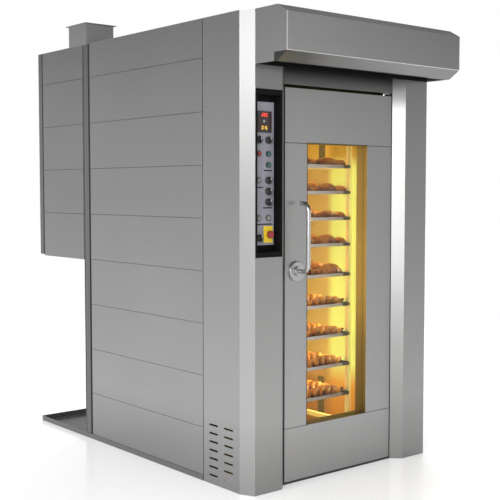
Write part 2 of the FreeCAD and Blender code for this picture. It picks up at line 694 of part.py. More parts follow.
# ================================================================ chamber
def chamber_liner():
    """Inner walls, floor, ceiling and front frame of the baking chamber, as separate sheets."""
    hw = CHAMBER_HALF_W
    top = CHAMBER_CEILING_Z
    floor = CHAMBER_FLOOR_Z
    pieces = []
    for side in (-1, 1):
        wall = box(-hw - SHEET, -hw, CHAMBER_FRONT_Y, DUCT_REAR_Y, floor, top)
        inner = box(-hw - SHEET, -MOUTH_HALF_W, CHAMBER_FRONT_Y - SHEET, CHAMBER_FRONT_Y, floor, top)
        cheek = box(-MOUTH_HALF_W - SHEET, -MOUTH_HALF_W, FRAME_FACE_Y + SHEET, CHAMBER_FRONT_Y - SHEET,
                    MOUTH_BOTTOM_Z, top)
        face = box(-JAMB_HALF, -MOUTH_HALF_W, FRAME_FACE_Y, FRAME_FACE_Y + SHEET, 0, top)
        for piece in (wall, inner, cheek, face):
            pieces.append(piece if side < 0 else mirror_x(piece))
    pieces.append(box(-hw, hw, CHAMBER_FRONT_Y, DUCT_REAR_Y, floor - SHEET, floor))
    pieces.append(box(-MOUTH_HALF_W, MOUTH_HALF_W, FRAME_FACE_Y, FRAME_FACE_Y + SHEET, 0, floor))
    pieces.append(box(-MOUTH_HALF_W, MOUTH_HALF_W, FRAME_FACE_Y + SHEET, CHAMBER_FRONT_Y, floor - SHEET, floor))
    ceiling = box(-hw - SHEET, hw + SHEET, FRAME_FACE_Y, DUCT_REAR_Y, top, top + SHEET)
    pieces.append(ceiling.cut(rod(SHAFT_R + SHAFT_ROOM, 0, ROTOR_Y, top - 1, SHEET + 2, Z_AXIS)))
    face_top = HEADER_BOTTOM_Z - 1
    pieces.append(box(-JAMB_HALF, JAMB_HALF, FRAME_FACE_Y, FRAME_FACE_Y + SHEET, top + SHEET, face_top))
    back = box(-hw - SHEET, hw + SHEET, DUCT_REAR_Y, DUCT_REAR_Y + SHEET, floor - SHEET, top + SHEET)
    pieces.append(back.cut(rod(FAN_SHAFT_R + SHAFT_ROOM, 0, DUCT_REAR_Y - 1, FAN_Z, SHEET + 2, Y_AXIS)))
    return pieces


def air_duct_panels():
    """Slotted wall behind the rack, with the fan's inlet, and a slotted panel in each rear corner."""
    hw = CHAMBER_HALF_W
    floor = CHAMBER_FLOOR_Z
    top = CHAMBER_CEILING_Z
    half = hw - DUCT_CORNER
    wall = box(-half, half, CHAMBER_REAR_Y, CHAMBER_REAR_Y + SHEET, floor, top)
    wall = wall.cut(rod(SUCTION_R, 0, CHAMBER_REAR_Y - 1, FAN_Z, SHEET + 2, Y_AXIS))
    pieces = [wall]
    for side in (-1, 1):
        start = V(-half, CHAMBER_REAR_Y, floor)
        end = V(-hw, CHAMBER_REAR_Y - DUCT_CORNER, floor)
        along = (end - start).normalize()
        normal = V(along.y, -along.x, 0)
        if normal.y < 0:
            normal = normal * -1
        inset = SHEET * 1.5
        a = start + along * inset
        b = end - along * inset
        panel = prism([a, b, b + normal * SHEET, a + normal * SHEET], V(0, 0, top - floor))
        slots = []
        for i in range(DUCT_SLOTS):
            z = DUCT_SLOT_Z + i * DUCT_SLOT_PITCH
            c = a + along * DUCT_SLOT_END - normal * SHEET
            d = b - along * DUCT_SLOT_END - normal * SHEET
            slot = prism([c, d, d + normal * (3 * SHEET), c + normal * (3 * SHEET)], V(0, 0, DUCT_SLOT_H))
            slot.translate(V(0, 0, z - floor))
            slots.append(slot)
        panel = panel.cut(slots)
        pieces.append(panel if side < 0 else mirror_x(panel))
    return pieces


def wall_insulation():
    """Slabs of mineral wool between the liner and the outer panels."""
    g = INSULATION_GAP
    x_out = -HALF_W + FRAME_DEPTH + g
    x_in = -CHAMBER_HALF_W - SHEET - g
    slabs = []
    for side in (-1, 1):
        slab = box(x_out, x_in, COLUMN_BACK_Y, DUCT_REAR_Y, BASE_RIM_H, CHAMBER_CEILING_Z)
        front = box(-CHAMBER_HALF_W + g, -MOUTH_HALF_W - SHEET - g, FRAME_FACE_Y + SHEET + g,
                    CHAMBER_FRONT_Y - SHEET - g, BASE_RIM_H, CHAMBER_CEILING_Z - g)
        for piece in (slab, front):
            slabs.append(piece if side < 0 else mirror_x(piece))
    top = box(-CHAMBER_HALF_W, CHAMBER_HALF_W, FRAME_FACE_Y + SHEET + g, DUCT_REAR_Y,
              CHAMBER_CEILING_Z + SHEET + g, DECK_Z - g)
    slabs.append(top.cut(rod(SHAFT_R + SHAFT_ROOM, 0, ROTOR_Y, CHAMBER_CEILING_Z, HEIGHT, Z_AXIS)))
    back = box(-CHAMBER_HALF_W, CHAMBER_HALF_W, DUCT_REAR_Y + SHEET + g, BACK_Y - 2 * SHEET - BASE_SHEET,
               BASE_RIM_H, CHAMBER_CEILING_Z)
    slabs.append(back.cut(rod(FAN_SHAFT_R + SHAFT_ROOM, 0, DUCT_REAR_Y, FAN_Z, CABINET_DEPTH, Y_AXIS)))
    return slabs


def steam_generator():
    """Tiers of iron bars that store heat and turn water into steam."""
    pieces = []
    depth = STEAM_BARS * STEAM_BAR_PITCH
    y0 = CHAMBER_REAR_Y + (DUCT_REAR_Y - CHAMBER_REAR_Y - depth) / 2
    top_z = STEAM_BOTTOM_Z + STEAM_ROWS * STEAM_ROW_PITCH
    for x in (-STEAM_HALF_W - STEAM_END, STEAM_HALF_W):
        pieces.append(box(x, x + STEAM_END, y0, y0 + depth, CHAMBER_FLOOR_Z, top_z))
    for row in range(STEAM_ROWS):
        z = STEAM_BOTTOM_Z + row * STEAM_ROW_PITCH
        for i in range(STEAM_BARS):
            y = y0 + (i + 0.5) * STEAM_BAR_PITCH
            pieces.append(box(-STEAM_HALF_W, STEAM_HALF_W, y - STEAM_BAR / 2, y + STEAM_BAR / 2,
                              z, z + STEAM_BAR))
    return pieces


def chamber_lamps():
    """Glazed lamp boxes on the inside of the chamber's front wall, right of the mouth."""
    pieces = []
    for z in LAMP_ZS:
        block = box(LAMP_X - LAMP_W / 2, LAMP_X + LAMP_W / 2, CHAMBER_FRONT_Y, CHAMBER_FRONT_Y + LAMP_D,
                    z, z + LAMP_H)
        edges = [e for e in block.Edges if e.BoundBox.YMin > CHAMBER_FRONT_Y + LAMP_D - 0.01]
        pieces.append(block.makeFillet(LAMP_EDGE_R, edges))
    return pieces


# ================================================================ rear casing
def rear_casing_panels():
    """Side and back panels with the cabinet's joints, the bottom sheet, and the burner's plate."""
    pieces = []
    for side in (-1, 1):
        for z0, z1 in panel_levels(CASING_BOTTOM_Z):
            pieces.append(pan_panel(side, BACK_Y + PANEL_SEAM, CASING_PANEL_END_Y, z0, z1))
    x_in = HALF_W - CASING_POST_LEG
    bottom_x = HALF_W - PANEL_FOLD
    pieces.append(box(-bottom_x, bottom_x, BACK_Y - SHEET, CASING_END_Y - SHEET,
                      CASING_BOTTOM_Z, CASING_BOTTOM_Z + SHEET))
    port = rod(BARREL_R + SHEET, 0, CASING_END_Y - 2 * SHEET, BURNER_Z, 4 * SHEET, Y_AXIS)
    for z0, z1 in panel_levels(CASING_BOTTOM_Z):
        back = box(-x_in, x_in, CASING_END_Y - SHEET, CASING_END_Y, z0, z1)
        pieces.append(back.cut(port))
    for x in (-HALF_W + GROOVE_DEPTH, HALF_W - GROOVE_DEPTH - SHEET):
        pieces.append(box(x, x + SHEET, CASING_PANEL_END_Y, CASING_POST_Y, CASING_BOTTOM_Z, ROOF_Z))
    pieces.append(burner_plate())
    return pieces


def heat_exchanger():
    """Two headers joined by rows of tubes, and the combustion barrel with its duct to the left header."""
    hw = EXCHANGER_HALF_W
    y0 = BACK_Y + EXCHANGER_FRONT
    y1 = CASING_END_Y - EXCHANGER_BACK
    z0 = EXCHANGER_BOTTOM_Z
    z1 = EXCHANGER_TOP_Z
    left = box(-hw, -hw + EXCHANGER_HEADER_W, y0, y1, z0, z1)
    right = box(hw - EXCHANGER_HEADER_W, hw, y0, y1, z0, z1)
    pieces = [hollow(header, EXCHANGER_WALL) for header in (left, right)]
    span_y = (y1 - y0) / TUBE_ROWS
    rows_z = [z0 + TUBE_PITCH * (i + 1) for i in range(TUBE_COLUMNS)]
    length = 2 * (hw - EXCHANGER_HEADER_W)
    for i in range(TUBE_ROWS):
        y = y0 + (i + 0.5) * span_y
        for z in rows_z:
            outer = rod(TUBE_R, -length / 2, y, z, length, X_AXIS)
            pieces.append(outer.cut(rod(TUBE_R - TUBE_SHEET, -length / 2, y, z, length, X_AXIS)))
    barrel_y = BACK_Y + EXCHANGER_FRONT
    barrel_len = CASING_END_Y - barrel_y
    barrel = rod(BARREL_R, 0, barrel_y, BURNER_Z, barrel_len, Y_AXIS)
    wall = BARREL_WALL
    barrel = barrel.cut(rod(BARREL_R - wall, 0, barrel_y + wall, BURNER_Z, barrel_len, Y_AXIS))
    pieces.append(barrel)
    duct = box(-length / 2, -BARREL_R, barrel_y + BARREL_R, barrel_y + 3 * BARREL_R,
               BURNER_Z - BARREL_R / 2, BURNER_Z + BARREL_R / 2)
    pieces.append(hollow(duct, EXCHANGER_WALL))
    return pieces


def hollow(block, wall):
    """Closed box with the middle taken out."""
    b = block.BoundBox
    return block.cut(box(b.XMin + wall, b.XMax - wall, b.YMin + wall, b.YMax - wall, b.ZMin + wall, b.ZMax - wall))


def burner_plate():
    """Square plate on the back of the casing, with a round port and bolt holes on a circle."""
    h = BURNER_PLATE_HALF
    plate = box(-h, h, CASING_END_Y, BASE_END_Y, BURNER_Z - h, BURNER_Z + h)
    plate = plate.cut(rod(BURNER_PORT_R, 0, CASING_END_Y - 1, BURNER_Z, BASE_OVERRUN + 2, Y_AXIS))
    for i in range(BURNER_HOLES):
        a = math.radians(45.0 + 360.0 * i / BURNER_HOLES)
        x = BURNER_PCD / 2 * math.cos(a)
        z = BURNER_Z + BURNER_PCD / 2 * math.sin(a)
        plate = plate.cut(rod(BURNER_HOLE_R, x, CASING_END_Y - 1, z, BASE_OVERRUN + 2, Y_AXIS))
    return plate


def flue_pipe():
    """Pipe from the left header up through the roof into the flue casing."""
    low = EXCHANGER_TOP_Z - FLUE_PIPE_DIP
    pipe = rod(FLUE_PIPE_R + FLUE_PIPE_WALL, FLUE_X, FLUE_PIPE_Y, low, FLUE_TOP_Z - 6.0 - low, Z_AXIS)
    elbow = rod(FLUE_ELBOW_R, FLUE_X, FLUE_PIPE_Y + FLUE_ELBOW_Y, low + FLUE_ELBOW_Z,
                -EXCHANGER_HALF_W - FLUE_X, X_AXIS)
    bore = rod(FLUE_PIPE_R, FLUE_X, FLUE_PIPE_Y, low + 4.0, FLUE_TOP_Z, Z_AXIS)
    return fuse([pipe, elbow]).cut(bore)


def flue_casing():
    """Square sleeve on the roof with a flange round its top edge, its screw and the pipe inside."""
    x0 = FLUE_LEFT_X
    x1 = FLUE_LEFT_X + FLUE_W
    y0 = FLUE_FRONT_Y
    y1 = FLUE_FRONT_Y + FLUE_D
    sleeve = tube_box(x0, x1, y0, y1, HEIGHT, FLUE_TOP_Z, SHEET, "z")
    f = FLUE_FLANGE
    flange = tube_box(x0 - f, x1 + f, y0 - f, y1 + f, FLUE_TOP_Z - FLUE_FLANGE_T, FLUE_TOP_Z,
                      FLUE_FLANGE + SHEET, "z")
    i = f - FLUE_HOLE_INSET
    for x in (x0 - i, x1 + i):
        for y in (y0 - i, y1 + i):
            flange = flange.cut(rod(FLUE_HOLE_R, x, y, FLUE_TOP_Z - 10, 20, Z_AXIS))
    screw = rod(SCREW_R, FLUE_X, y0 - SCREW_H, HEIGHT + 50.0, SCREW_H, Y_AXIS)
    return [fuse([sleeve, flange]), screw, flue_pipe()]


def service_inlets():
    """Cable gland and water inlet stub on the back of the main cabinet, each with its flange."""
    pieces = []
    for x, outer, bore, length in INLETS:
        flange = rod(outer * INLET_FLANGE, x, BACK_Y, INLET_Z, INLET_FLANGE_T, Y_AXIS)
        stub = rod(outer, x, BACK_Y, INLET_Z, INLET_FLANGE_T + length, Y_AXIS)
        whole = fuse([flange, stub])
        pieces.append(whole.cut(rod(bore, x, BACK_Y - 1, INLET_Z, 2 * length + INLET_FLANGE_T, Y_AXIS)))
    return pieces


# ================================================================ circulation fan
def fan_impeller():
    """Back disc, blades and front ring on a shaft that runs back to the motor."""
    y0 = FAN_FRONT_Y
    y1 = y0 + FAN_W
    disc = rod(FAN_R, 0, y1 - FAN_PLATE, FAN_Z, FAN_PLATE, Y_AXIS)
    ring = rod(FAN_R, 0, y0, FAN_Z, FAN_PLATE, Y_AXIS).cut(rod(FAN_RING_R, 0, y0 - 1, FAN_Z, 10, Y_AXIS))
    hub = rod(2 * FAN_SHAFT_R, 0, y1 - FAN_HUB_LEN, FAN_Z, FAN_HUB_LEN, Y_AXIS)
    shaft_end = BACK_Y + MOTOR_GAP + FAN_SHAFT_SEAT
    shaft = rod(FAN_SHAFT_R, 0, y1 - FAN_HUB_LEN, FAN_Z, shaft_end - y1 + FAN_HUB_LEN, Y_AXIS)
    pieces = [disc, ring, hub, shaft]
    for i in range(FAN_BLADES):
        blade = box(FAN_RING_R - FAN_BLADE_IN, FAN_R - 1.0, y0 + FAN_PLATE, y1 - FAN_PLATE,
                    FAN_Z - FAN_PLATE / 2, FAN_Z + FAN_PLATE / 2)
        blade.rotate(V(0, 0, FAN_Z), Y_AXIS, 360.0 * i / FAN_BLADES)
        pieces.append(blade)
    return [fuse(pieces)]


def fan_motor():
    """Foot-mounted motor inside the rear casing, bored for the fan's shaft."""
    y0 = BACK_Y + MOTOR_GAP
    barrel = rod(MOTOR_R, 0, y0, FAN_Z, MOTOR_LEN, Y_AXIS)
    foot = box(-MOTOR_R, MOTOR_R, y0 + MOTOR_FOOT_FRONT, y0 + MOTOR_LEN - MOTOR_FOOT_BACK,
               CASING_BOTTOM_Z + SHEET, FAN_Z - MOTOR_R * 0.875)
    body = fuse([barrel, foot])
    bore = rod(FAN_SHAFT_R + RUNNING, 0, y0 - 1, FAN_Z, FAN_SHAFT_SEAT + LOOSE + 1, Y_AXIS)
    cowl = rod(MOTOR_COWL_R, 0, y0 + MOTOR_LEN, FAN_Z, MOTOR_COWL_LEN, Y_AXIS)
    return [body.cut(bore), cowl]


# ================================================================ rotor and its drive
def gear_blank(teeth, module, width, backlash):
    """Spur gear about the Z axis with a tooth centred on +X."""
    pitch_r = module * teeth / 2
    base_r = pitch_r * math.cos(PRESSURE_ANGLE)
    root_r = pitch_r - 1.25 * module
    tip_r = pitch_r + module
    start_r = max(base_r, root_r)
    half = math.pi / (2 * teeth) - backlash / (2 * pitch_r)
    inv_pitch = math.tan(PRESSURE_ANGLE) - PRESSURE_ANGLE
    flank = []
    for i in range(4):
        r = start_r + (tip_r - start_r) * i / 3
        pressure = math.acos(min(1.0, base_r / r))
        flank.append((r, half + inv_pitch - (math.tan(pressure) - pressure)))
    points = []
    for tooth in range(teeth):
        centre = 2 * math.pi * tooth / teeth
        side = [(root_r, flank[0][1])] + flank if start_r > root_r else flank
        outline = [(r, centre - a) for r, a in side] + [(r, centre + a) for r, a in side[::-1]]
        points += [V(r * math.cos(a), r * math.sin(a), 0) for r, a in outline]
    return prism(points, V(0, 0, width))


def drive_shaft():
    """Shaft with the fork that turns the rack at its foot and the large gear near its top."""
    fork_top = RACK_TOP_Z + TUBE + LUG_H + FORK_HEAD_H
    shaft = rod(SHAFT_R, 0, ROTOR_Y, fork_top - FORK_HEAD_H, SHAFT_TOP_Z - fork_top + FORK_HEAD_H, Z_AXIS)
    head = rod(FORK_HEAD_R, 0, ROTOR_Y, fork_top - FORK_HEAD_H, FORK_HEAD_H, Z_AXIS)
    prongs = []
    inner = LUG_THICK / 2 + LOOSE
    for side in (-1, 1):
        y = ROTOR_Y + side * (inner + PRONG_THICK / 2)
        prongs.append(box(-PRONG_HALF_W, PRONG_HALF_W, y - PRONG_THICK / 2, y + PRONG_THICK / 2,
                          fork_top - FORK_HEAD_H - FORK_DROP, fork_top - FORK_HEAD_H + 1))
    lower = fuse([shaft, head] + prongs)
    gear = gear_blank(GEAR_TEETH, GEAR_MODULE, GEAR_WIDTH, GEAR_BACKLASH)
    for i in range(GEAR_HOLES):
        a = 2 * math.pi * (i + 0.5) / GEAR_HOLES
        x = GEAR_HOLE_AT * math.cos(a)
        y = GEAR_HOLE_AT * math.sin(a)
        gear = gear.cut(rod(GEAR_HOLE_R, x, y, -1, GEAR_WIDTH + 2, Z_AXIS))
    gear = gear.cut(rod(SHAFT_R, 0, 0, -1, GEAR_WIDTH + 2, Z_AXIS))
    gear.translate(V(0, ROTOR_Y, GEAR_Z))
    return [lower, gear]


def drive_pinion():
    """Small gear on its shaft, in mesh with the large gear."""
    width = GEAR_WIDTH + PINION_EXTRA
    gear = gear_blank(PINION_TEETH, GEAR_MODULE, width, GEAR_BACKLASH)
    gear.rotate(V(0, 0, 0), Z_AXIS, 180.0 / PINION_TEETH)
    shaft = rod(PINION_SHAFT_R, 0, 0, 0, DRIVE_PLATE_Z + DRIVE_PLATE_T + PINION_SHAFT_SEAT - GEAR_Z, Z_AXIS)
    whole = fuse([gear, shaft])
    whole.translate(V(PINION_X, ROTOR_Y, GEAR_Z - PINION_EXTRA / 2))
    return [whole]


def rotor_drive_unit():
    """Gearmotor on its bracket over the deck, the shaft's flange bearing and the turntable's bearing."""
    gap = RUNNING
    z = DRIVE_PLATE_Z
    t = DRIVE_PLATE_T
    x1 = PINION_X + GEARBOX_HALF + BRACKET_REACH
    half = GEARBOX_HALF + BRACKET_SIDE
    bore = rod(PINION_SHAFT_R + gap, PINION_X, ROTOR_Y, GEAR_Z, 2 * GEARBOX_H, Z_AXIS)
    bracket = fuse([
        box(PINION_X - GEARBOX_HALF, x1, ROTOR_Y - half, ROTOR_Y + half, z, z + t),
        box(x1 - t, x1, ROTOR_Y - half, ROTOR_Y + half, DECK_Z + SHEET, z + t),
        box(x1 - t, x1 + BRACKET_FOOT, ROTOR_Y - half, ROTOR_Y + half, DECK_Z + SHEET, DECK_Z + SHEET + t),
    ]).cut(bore)
    gearbox = box(PINION_X - GEARBOX_HALF, PINION_X + GEARBOX_HALF, ROTOR_Y - GEARBOX_HALF,
                  ROTOR_Y + GEARBOX_HALF, z + t, z + t + GEARBOX_H).cut(
        rod(PINION_SHAFT_R + gap, PINION_X, ROTOR_Y, z, t + PINION_SHAFT_SEAT + LOOSE, Z_AXIS))
    motor = rod(DRIVE_MOTOR_R, PINION_X, ROTOR_Y + GEARBOX_HALF, z + t + GEARBOX_H / 2 + 8, DRIVE_MOTOR_LEN, Y_AXIS)
    flange = rod(BEARING_FLANGE_R, 0, ROTOR_Y, DECK_Z + SHEET, BEARING_FLANGE_T, Z_AXIS)
    flange = fuse([flange, rod(BEARING_NECK_R, 0, ROTOR_Y, DECK_Z + SHEET, BEARING_NECK_H, Z_AXIS)])
    flange = flange.cut(rod(SHAFT_R + gap, 0, ROTOR_Y, DECK_Z, BEARING_NECK_H + SHEET + 1, Z_AXIS))
    deck = box(-CHAMBER_HALF_W, CHAMBER_HALF_W, FRAME_FACE_Y + 10.0, DUCT_REAR_Y, DECK_Z, DECK_Z + SHEET)
    deck = deck.cut(rod(SHAFT_R + SHAFT_ROOM, 0, ROTOR_Y, DECK_Z - 1, SHEET + 2, Z_AXIS))
    thrust = rod(BEARING_R, 0, ROTOR_Y, CHAMBER_FLOOR_Z, TABLE_LIFT - LOOSE, Z_AXIS)
    return [bracket, gearbox, motor, flange, deck, thrust]


def turntable():
    """Round plate that the rack stands on, with a hub under its middle."""
    z = CHAMBER_FLOOR_Z + TABLE_LIFT
    return [rod(TABLE_R, 0, ROTOR_Y, z, TABLE_THICK, Z_AXIS)]


def castor_places():
    """Swivel axes of the four castors: name, x, y."""
    x = TUBE_X
    front = RACK_FRONT_Y + CASTOR_INSET
    back = RACK_BACK_Y - CASTOR_INSET
    return {"front_left": (-x, front), "front_right": (x, front), "rear_left": (-x, back), "rear_right": (x, back)}


def castor_fork(x, y, stem_top):
    """Fork over one wheel: top plate, two cheeks, the axle between them and the stem."""
    inner = WHEEL_W / 2 + FORK_PLAY
    outer = inner + FORK_SHEET
    axle_y = y + CASTOR_TRAIL
    plate_z = FORK_PLATE_Z
    plate = box(x - outer, x + outer, y - outer, axle_y + outer, plate_z, plate_z + FORK_SHEET)
    cheeks = [box(x0, x0 + FORK_SHEET, axle_y - outer, axle_y + outer, AXLE_Z - 2 * AXLE_R, plate_z + 1)
              for x0 in (x - outer, x + inner)]
    stem = rod(STEM_R, x, y, plate_z, stem_top - plate_z, Z_AXIS)
    axle = rod(AXLE_R, x - outer, axle_y, AXLE_Z, 2 * outer, X_AXIS)
    return fuse([plate, stem, axle] + cheeks)


def castor_wheel(x, y):
    """Wheel bored for its axle."""
    axle_y = y + CASTOR_TRAIL
    wheel = rod(WHEEL_R, x - WHEEL_W / 2, axle_y, AXLE_Z, WHEEL_W, X_AXIS)
    edges = [e for e in wheel.Edges if abs(e.Length - 2 * math.pi * WHEEL_R) < 1.0]
    wheel = wheel.makeChamfer(4.0, edges)
    return wheel.cut(rod(AXLE_R + RUNNING, x - WHEEL_W, axle_y, AXLE_Z, 2 * WHEEL_W, X_AXIS))


def rack_frame():
    """Trolley of square tube with a rail under each tray edge and a lug for the fork."""
    t = TUBE / 2
    xs = (-TUBE_X, TUBE_X)
    ys = (RACK_FRONT_Y + t, RACK_BACK_Y - t)
    pieces = []
    for x in xs:
        for y in ys:
            pieces.append(tube_box(x - t, x + t, y - t, y + t, RACK_BASE_Z + TUBE, RACK_TOP_Z, TUBE_WALL, "z"))
        for z in (RACK_BASE_Z, RACK_TOP_Z):
            pieces.append(tube_box(x - t, x + t, RACK_FRONT_Y, RACK_BACK_Y, z, z + TUBE, TUBE_WALL, "y"))
    inner = TUBE_X - t
    for z in (RACK_BASE_Z, RACK_TOP_Z):
        for y in ys:
            pieces.append(tube_box(-inner, inner, y - t, y + t, z, z + TUBE, TUBE_WALL, "x"))
    pieces.append(tube_box(-inner, inner, ROTOR_Y - t, ROTOR_Y + t, RACK_TOP_Z, RACK_TOP_Z + TUBE, TUBE_WALL, "x"))
    lug = box(-LUG_W / 2, LUG_W / 2, ROTOR_Y - LUG_THICK / 2, ROTOR_Y + LUG_THICK / 2,
              RACK_TOP_Z + TUBE, RACK_TOP_Z + TUBE + LUG_H - LOOSE)
    pieces.append(lug)
    for level in TRAY_ZS:
        foot = box(-inner, -inner + RAIL_W, RACK_FRONT_Y, RACK_BACK_Y, level - RAIL_SHEET, level)
        edge = box(-inner, -inner + RAIL_SHEET, RACK_FRONT_Y, RACK_BACK_Y, level, level + RAIL_SHEET * 4)
        rail = fuse([foot, edge])
        pieces += [rail, mirror_x(rail)]
    pieces += castor_sockets()
    return pieces


def castor_sockets():
    """Bored sockets for the swivelling castors, and the fixed castors' own forks."""
    pieces = []
    for name, (x, y) in castor_places().items():
        if name not in SWIVELS:
            pieces.append(castor_fork(x, y, RACK_BASE_Z))
            continue
        socket = rod(SOCKET_R, x, y, SOCKET_Z, RACK_BASE_Z - SOCKET_Z, Z_AXIS)
        bore = rod(STEM_R + RUNNING, x, y, 0, RACK_BASE_Z - STEM_SEAT + LOOSE, Z_AXIS)
        pieces.append(socket.cut(bore))
    return pieces


def baking_tray(level):
    """Shallow sheet pan."""
    w = TRAY_W / 2
    y0 = TRAY_FRONT_Y
    y1 = y0 + TRAY_D
    s = TRAY_SHEET
    outer = box(-w, w, y0, y1, level, level + TRAY_H)
    return outer.cut(box(-w + s, w - s, y0 + s, y1 - s, level + s, level + TRAY_H))


def loaf(length, radius, height, x, y, level):
    """Oval loaf with a flat bottom and flat facets, long way across the tray."""
    floor = radius - height
    sections = []
    for share in LOAF_STATIONS:
        r = radius * math.sqrt(1.0 - (LOAF_FULLNESS * share) ** 2)
        angles = [2 * math.pi * (i + 0.5) / LOAF_SIDES for i in range(LOAF_SIDES)]
        ring = [V(share * length / 2, r * math.cos(a), r * math.sin(a)) for a in angles]
        sections.append(Part.makePolygon(ring + [ring[0]]))
    body = Part.makeLoft(sections, True, True)
    body = body.cut(box(-length, length, -2 * radius, 2 * radius, -2 * radius, floor))
    body.translate(V(x, y, level + TRAY_SHEET - floor))
    return body


def loaf_rows(length, radius, height, across, rows, level):
    """Loaves spread evenly over one tray."""
    pitch_x = (TRAY_W - 20.0) / across
    pitch_y = (TRAY_D - 30.0) / rows
    loaves = []
    for i in range(across):
        for j in range(rows):
            x = (i - (across - 1) / 2) * pitch_x
            y = ROTOR_Y + (j - (rows - 1) / 2) * pitch_y
            loaves.append(loaf(length, radius, height, x, y, level))
    return loaves


def bread_load():
    """Oval rolls on the upper trays, buns on the middle one and long loaves below."""
    loaves = []
    for i, level in enumerate(TRAY_ZS):
        if i < UPPER_TRAYS:
            loaves += loaf_rows(ROLL_LEN, ROLL_R, ROLL_H, 3, 5, level)
        elif i == UPPER_TRAYS:
            loaves += loaf_rows(BUN_LEN, BUN_R, BUN_H, 5, 6, level)
        else:
            loaves += loaf_rows(LOAF_LEN, LOAF_R, LOAF_H, 2, 5, level)
    return loaves


# ================================================================ door
def door_skin():
    """Four outer sheets: top, bottom and the two stiles beside the window."""
    y0 = DOOR_Y
    y1 = DOOR_Y + SHEET
    g = SKIN_SEAM / 2
    top = box(-DOOR_HALF_W, DOOR_HALF_W, y0, y1, WINDOW_TOP_Z + g, DOOR_TOP_Z)
    bottom = box(-DOOR_HALF_W, DOOR_HALF_W, y0, y1, DOOR_BOTTOM_Z, WINDOW_BOTTOM_Z - g)
    left = box(-DOOR_HALF_W, WINDOW_LEFT_X, y0, y1, WINDOW_BOTTOM_Z + g, WINDOW_TOP_Z - g)
    right = box(WINDOW_RIGHT_X, DOOR_HALF_W, y0, y1, WINDOW_BOTTOM_Z + g, WINDOW_TOP_Z - g)
    left = left.cut(rod(SPINDLE_R + LOOSE, HANDLE_X, y0 - 1, HANDLE_Z, SHEET + 2, Y_AXIS))
    return [top, bottom, left, right]


def door_frame():
    """Edge channels, window lining, inner face and the bushes that the pivots turn in."""
    hw = DOOR_HALF_W
    y0 = DOOR_Y + SHEET
    y1 = DOOR_BACK_Y
    s = SHEET
    slot = box(-hw - 1, -hw + s + 1, CAM_Y - CAM_ROOM, CAM_Y + CAM_THICK + CAM_ROOM,
               HANDLE_Z - CAM_HALF_W - CAM_ROOM, HANDLE_Z + CAM_SLOT_TOP)
    left = box(-hw, -hw + s, y0, y1 - s, DOOR_BOTTOM_Z, DOOR_TOP_Z).cut(slot)
    right = box(hw - s, hw, y0, y1 - s, DOOR_BOTTOM_Z, DOOR_TOP_Z)
    caps = []
    for z in (DOOR_BOTTOM_Z, DOOR_TOP_Z - s):
        cap = box(-hw + s, hw - s, y0, y1 - s, z, z + s)
        caps.append(cap.cut(rod(BUSH_R, PIVOT_X, PIVOT_Y, z - 1, s + 2, Z_AXIS)))
    wl = WINDOW_LEFT_X
    wr = WINDOW_RIGHT_X
    wb = WINDOW_BOTTOM_Z
    wt = WINDOW_TOP_Z
    lining = [
        box(wl - s, wl, y0, y1 - s, wb - s, wt + s),
        box(wr, wr + s, y0, y1 - s, wb - s, wt + s),
        box(wl, wr, y0, y1 - s, wb - s, wb),
        box(wl, wr, y0, y1 - s, wt, wt + s),
    ]
    backs = [
        box(-hw, hw, y1 - s, y1, wt, DOOR_TOP_Z),
        box(-hw, hw, y1 - s, y1, DOOR_BOTTOM_Z, wb),
        box(-hw, wl, y1 - s, y1, wb, wt),
        box(wr, hw, y1 - s, y1, wb, wt),
    ]
    bushes = []
    for z in (DOOR_BOTTOM_Z, DOOR_TOP_Z - BUSH_LEN):
        bush = rod(BUSH_R, PIVOT_X, PIVOT_Y, z, BUSH_LEN, Z_AXIS)
        bushes.append(bush.cut(rod(PIVOT_R + RUNNING, PIVOT_X, PIVOT_Y, z - 1, BUSH_LEN + 2, Z_AXIS)))
    return [left, right] + caps + lining + backs + bushes


def door_insulation():
    """Mineral wool inside the door, cut round the latch and the pivot bushes."""
    s = SHEET
    g = INSULATION_GAP
    y0 = DOOR_Y + s + g
    y1 = DOOR_BACK_Y - s - g
    hw = DOOR_HALF_W - s - g
    z0 = DOOR_BOTTOM_Z + s + g
    z1 = DOOR_TOP_Z - s - g
    wb = WINDOW_BOTTOM_Z - s - g
    wt = WINDOW_TOP_Z + s + g
    blocks = [
        box(-hw, hw, y0, y1, wt, z1),
        box(-hw, hw, y0, y1, z0, wb),
        box(-hw, WINDOW_LEFT_X - s - g, y0, y1, wb + g, wt - g),
        box(WINDOW_RIGHT_X + s + g, hw, y0, y1, wb + g, wt - g),
    ]
    for i, z in ((0, DOOR_TOP_Z - BUSH_LEN - 1), (1, 0)):
        blocks[i] = blocks[i].cut(rod(BUSH_R + 1, PIVOT_X, PIVOT_Y, z, DOOR_BOTTOM_Z + BUSH_LEN + 1, Z_AXIS))
    reach = CAM_REACH + CAM_ROOM
    pocket = box(-hw - 1, HANDLE_X + CAM_HALF_W + CAM_ROOM + 4, CAM_Y - CAM_ROOM, CAM_Y + CAM_THICK + CAM_ROOM,
                 HANDLE_Z - CAM_HALF_W - CAM_ROOM - 4, HANDLE_Z + reach)
    hole = rod(SPINDLE_R + 2, HANDLE_X, DOOR_Y, HANDLE_Z, CAM_BACK, Y_AXIS)
    blocks[2] = blocks[2].cut([pocket, hole])
    return blocks


def window_glass():
    panes = []
    for recess in (OUTER_GLASS_RECESS, INNER_GLASS_RECESS):
        y = DOOR_Y + recess
        panes.append(box(WINDOW_LEFT_X, WINDOW_RIGHT_X, y, y + GLASS_THICK, WINDOW_BOTTOM_Z, WINDOW_TOP_Z))
    return panes


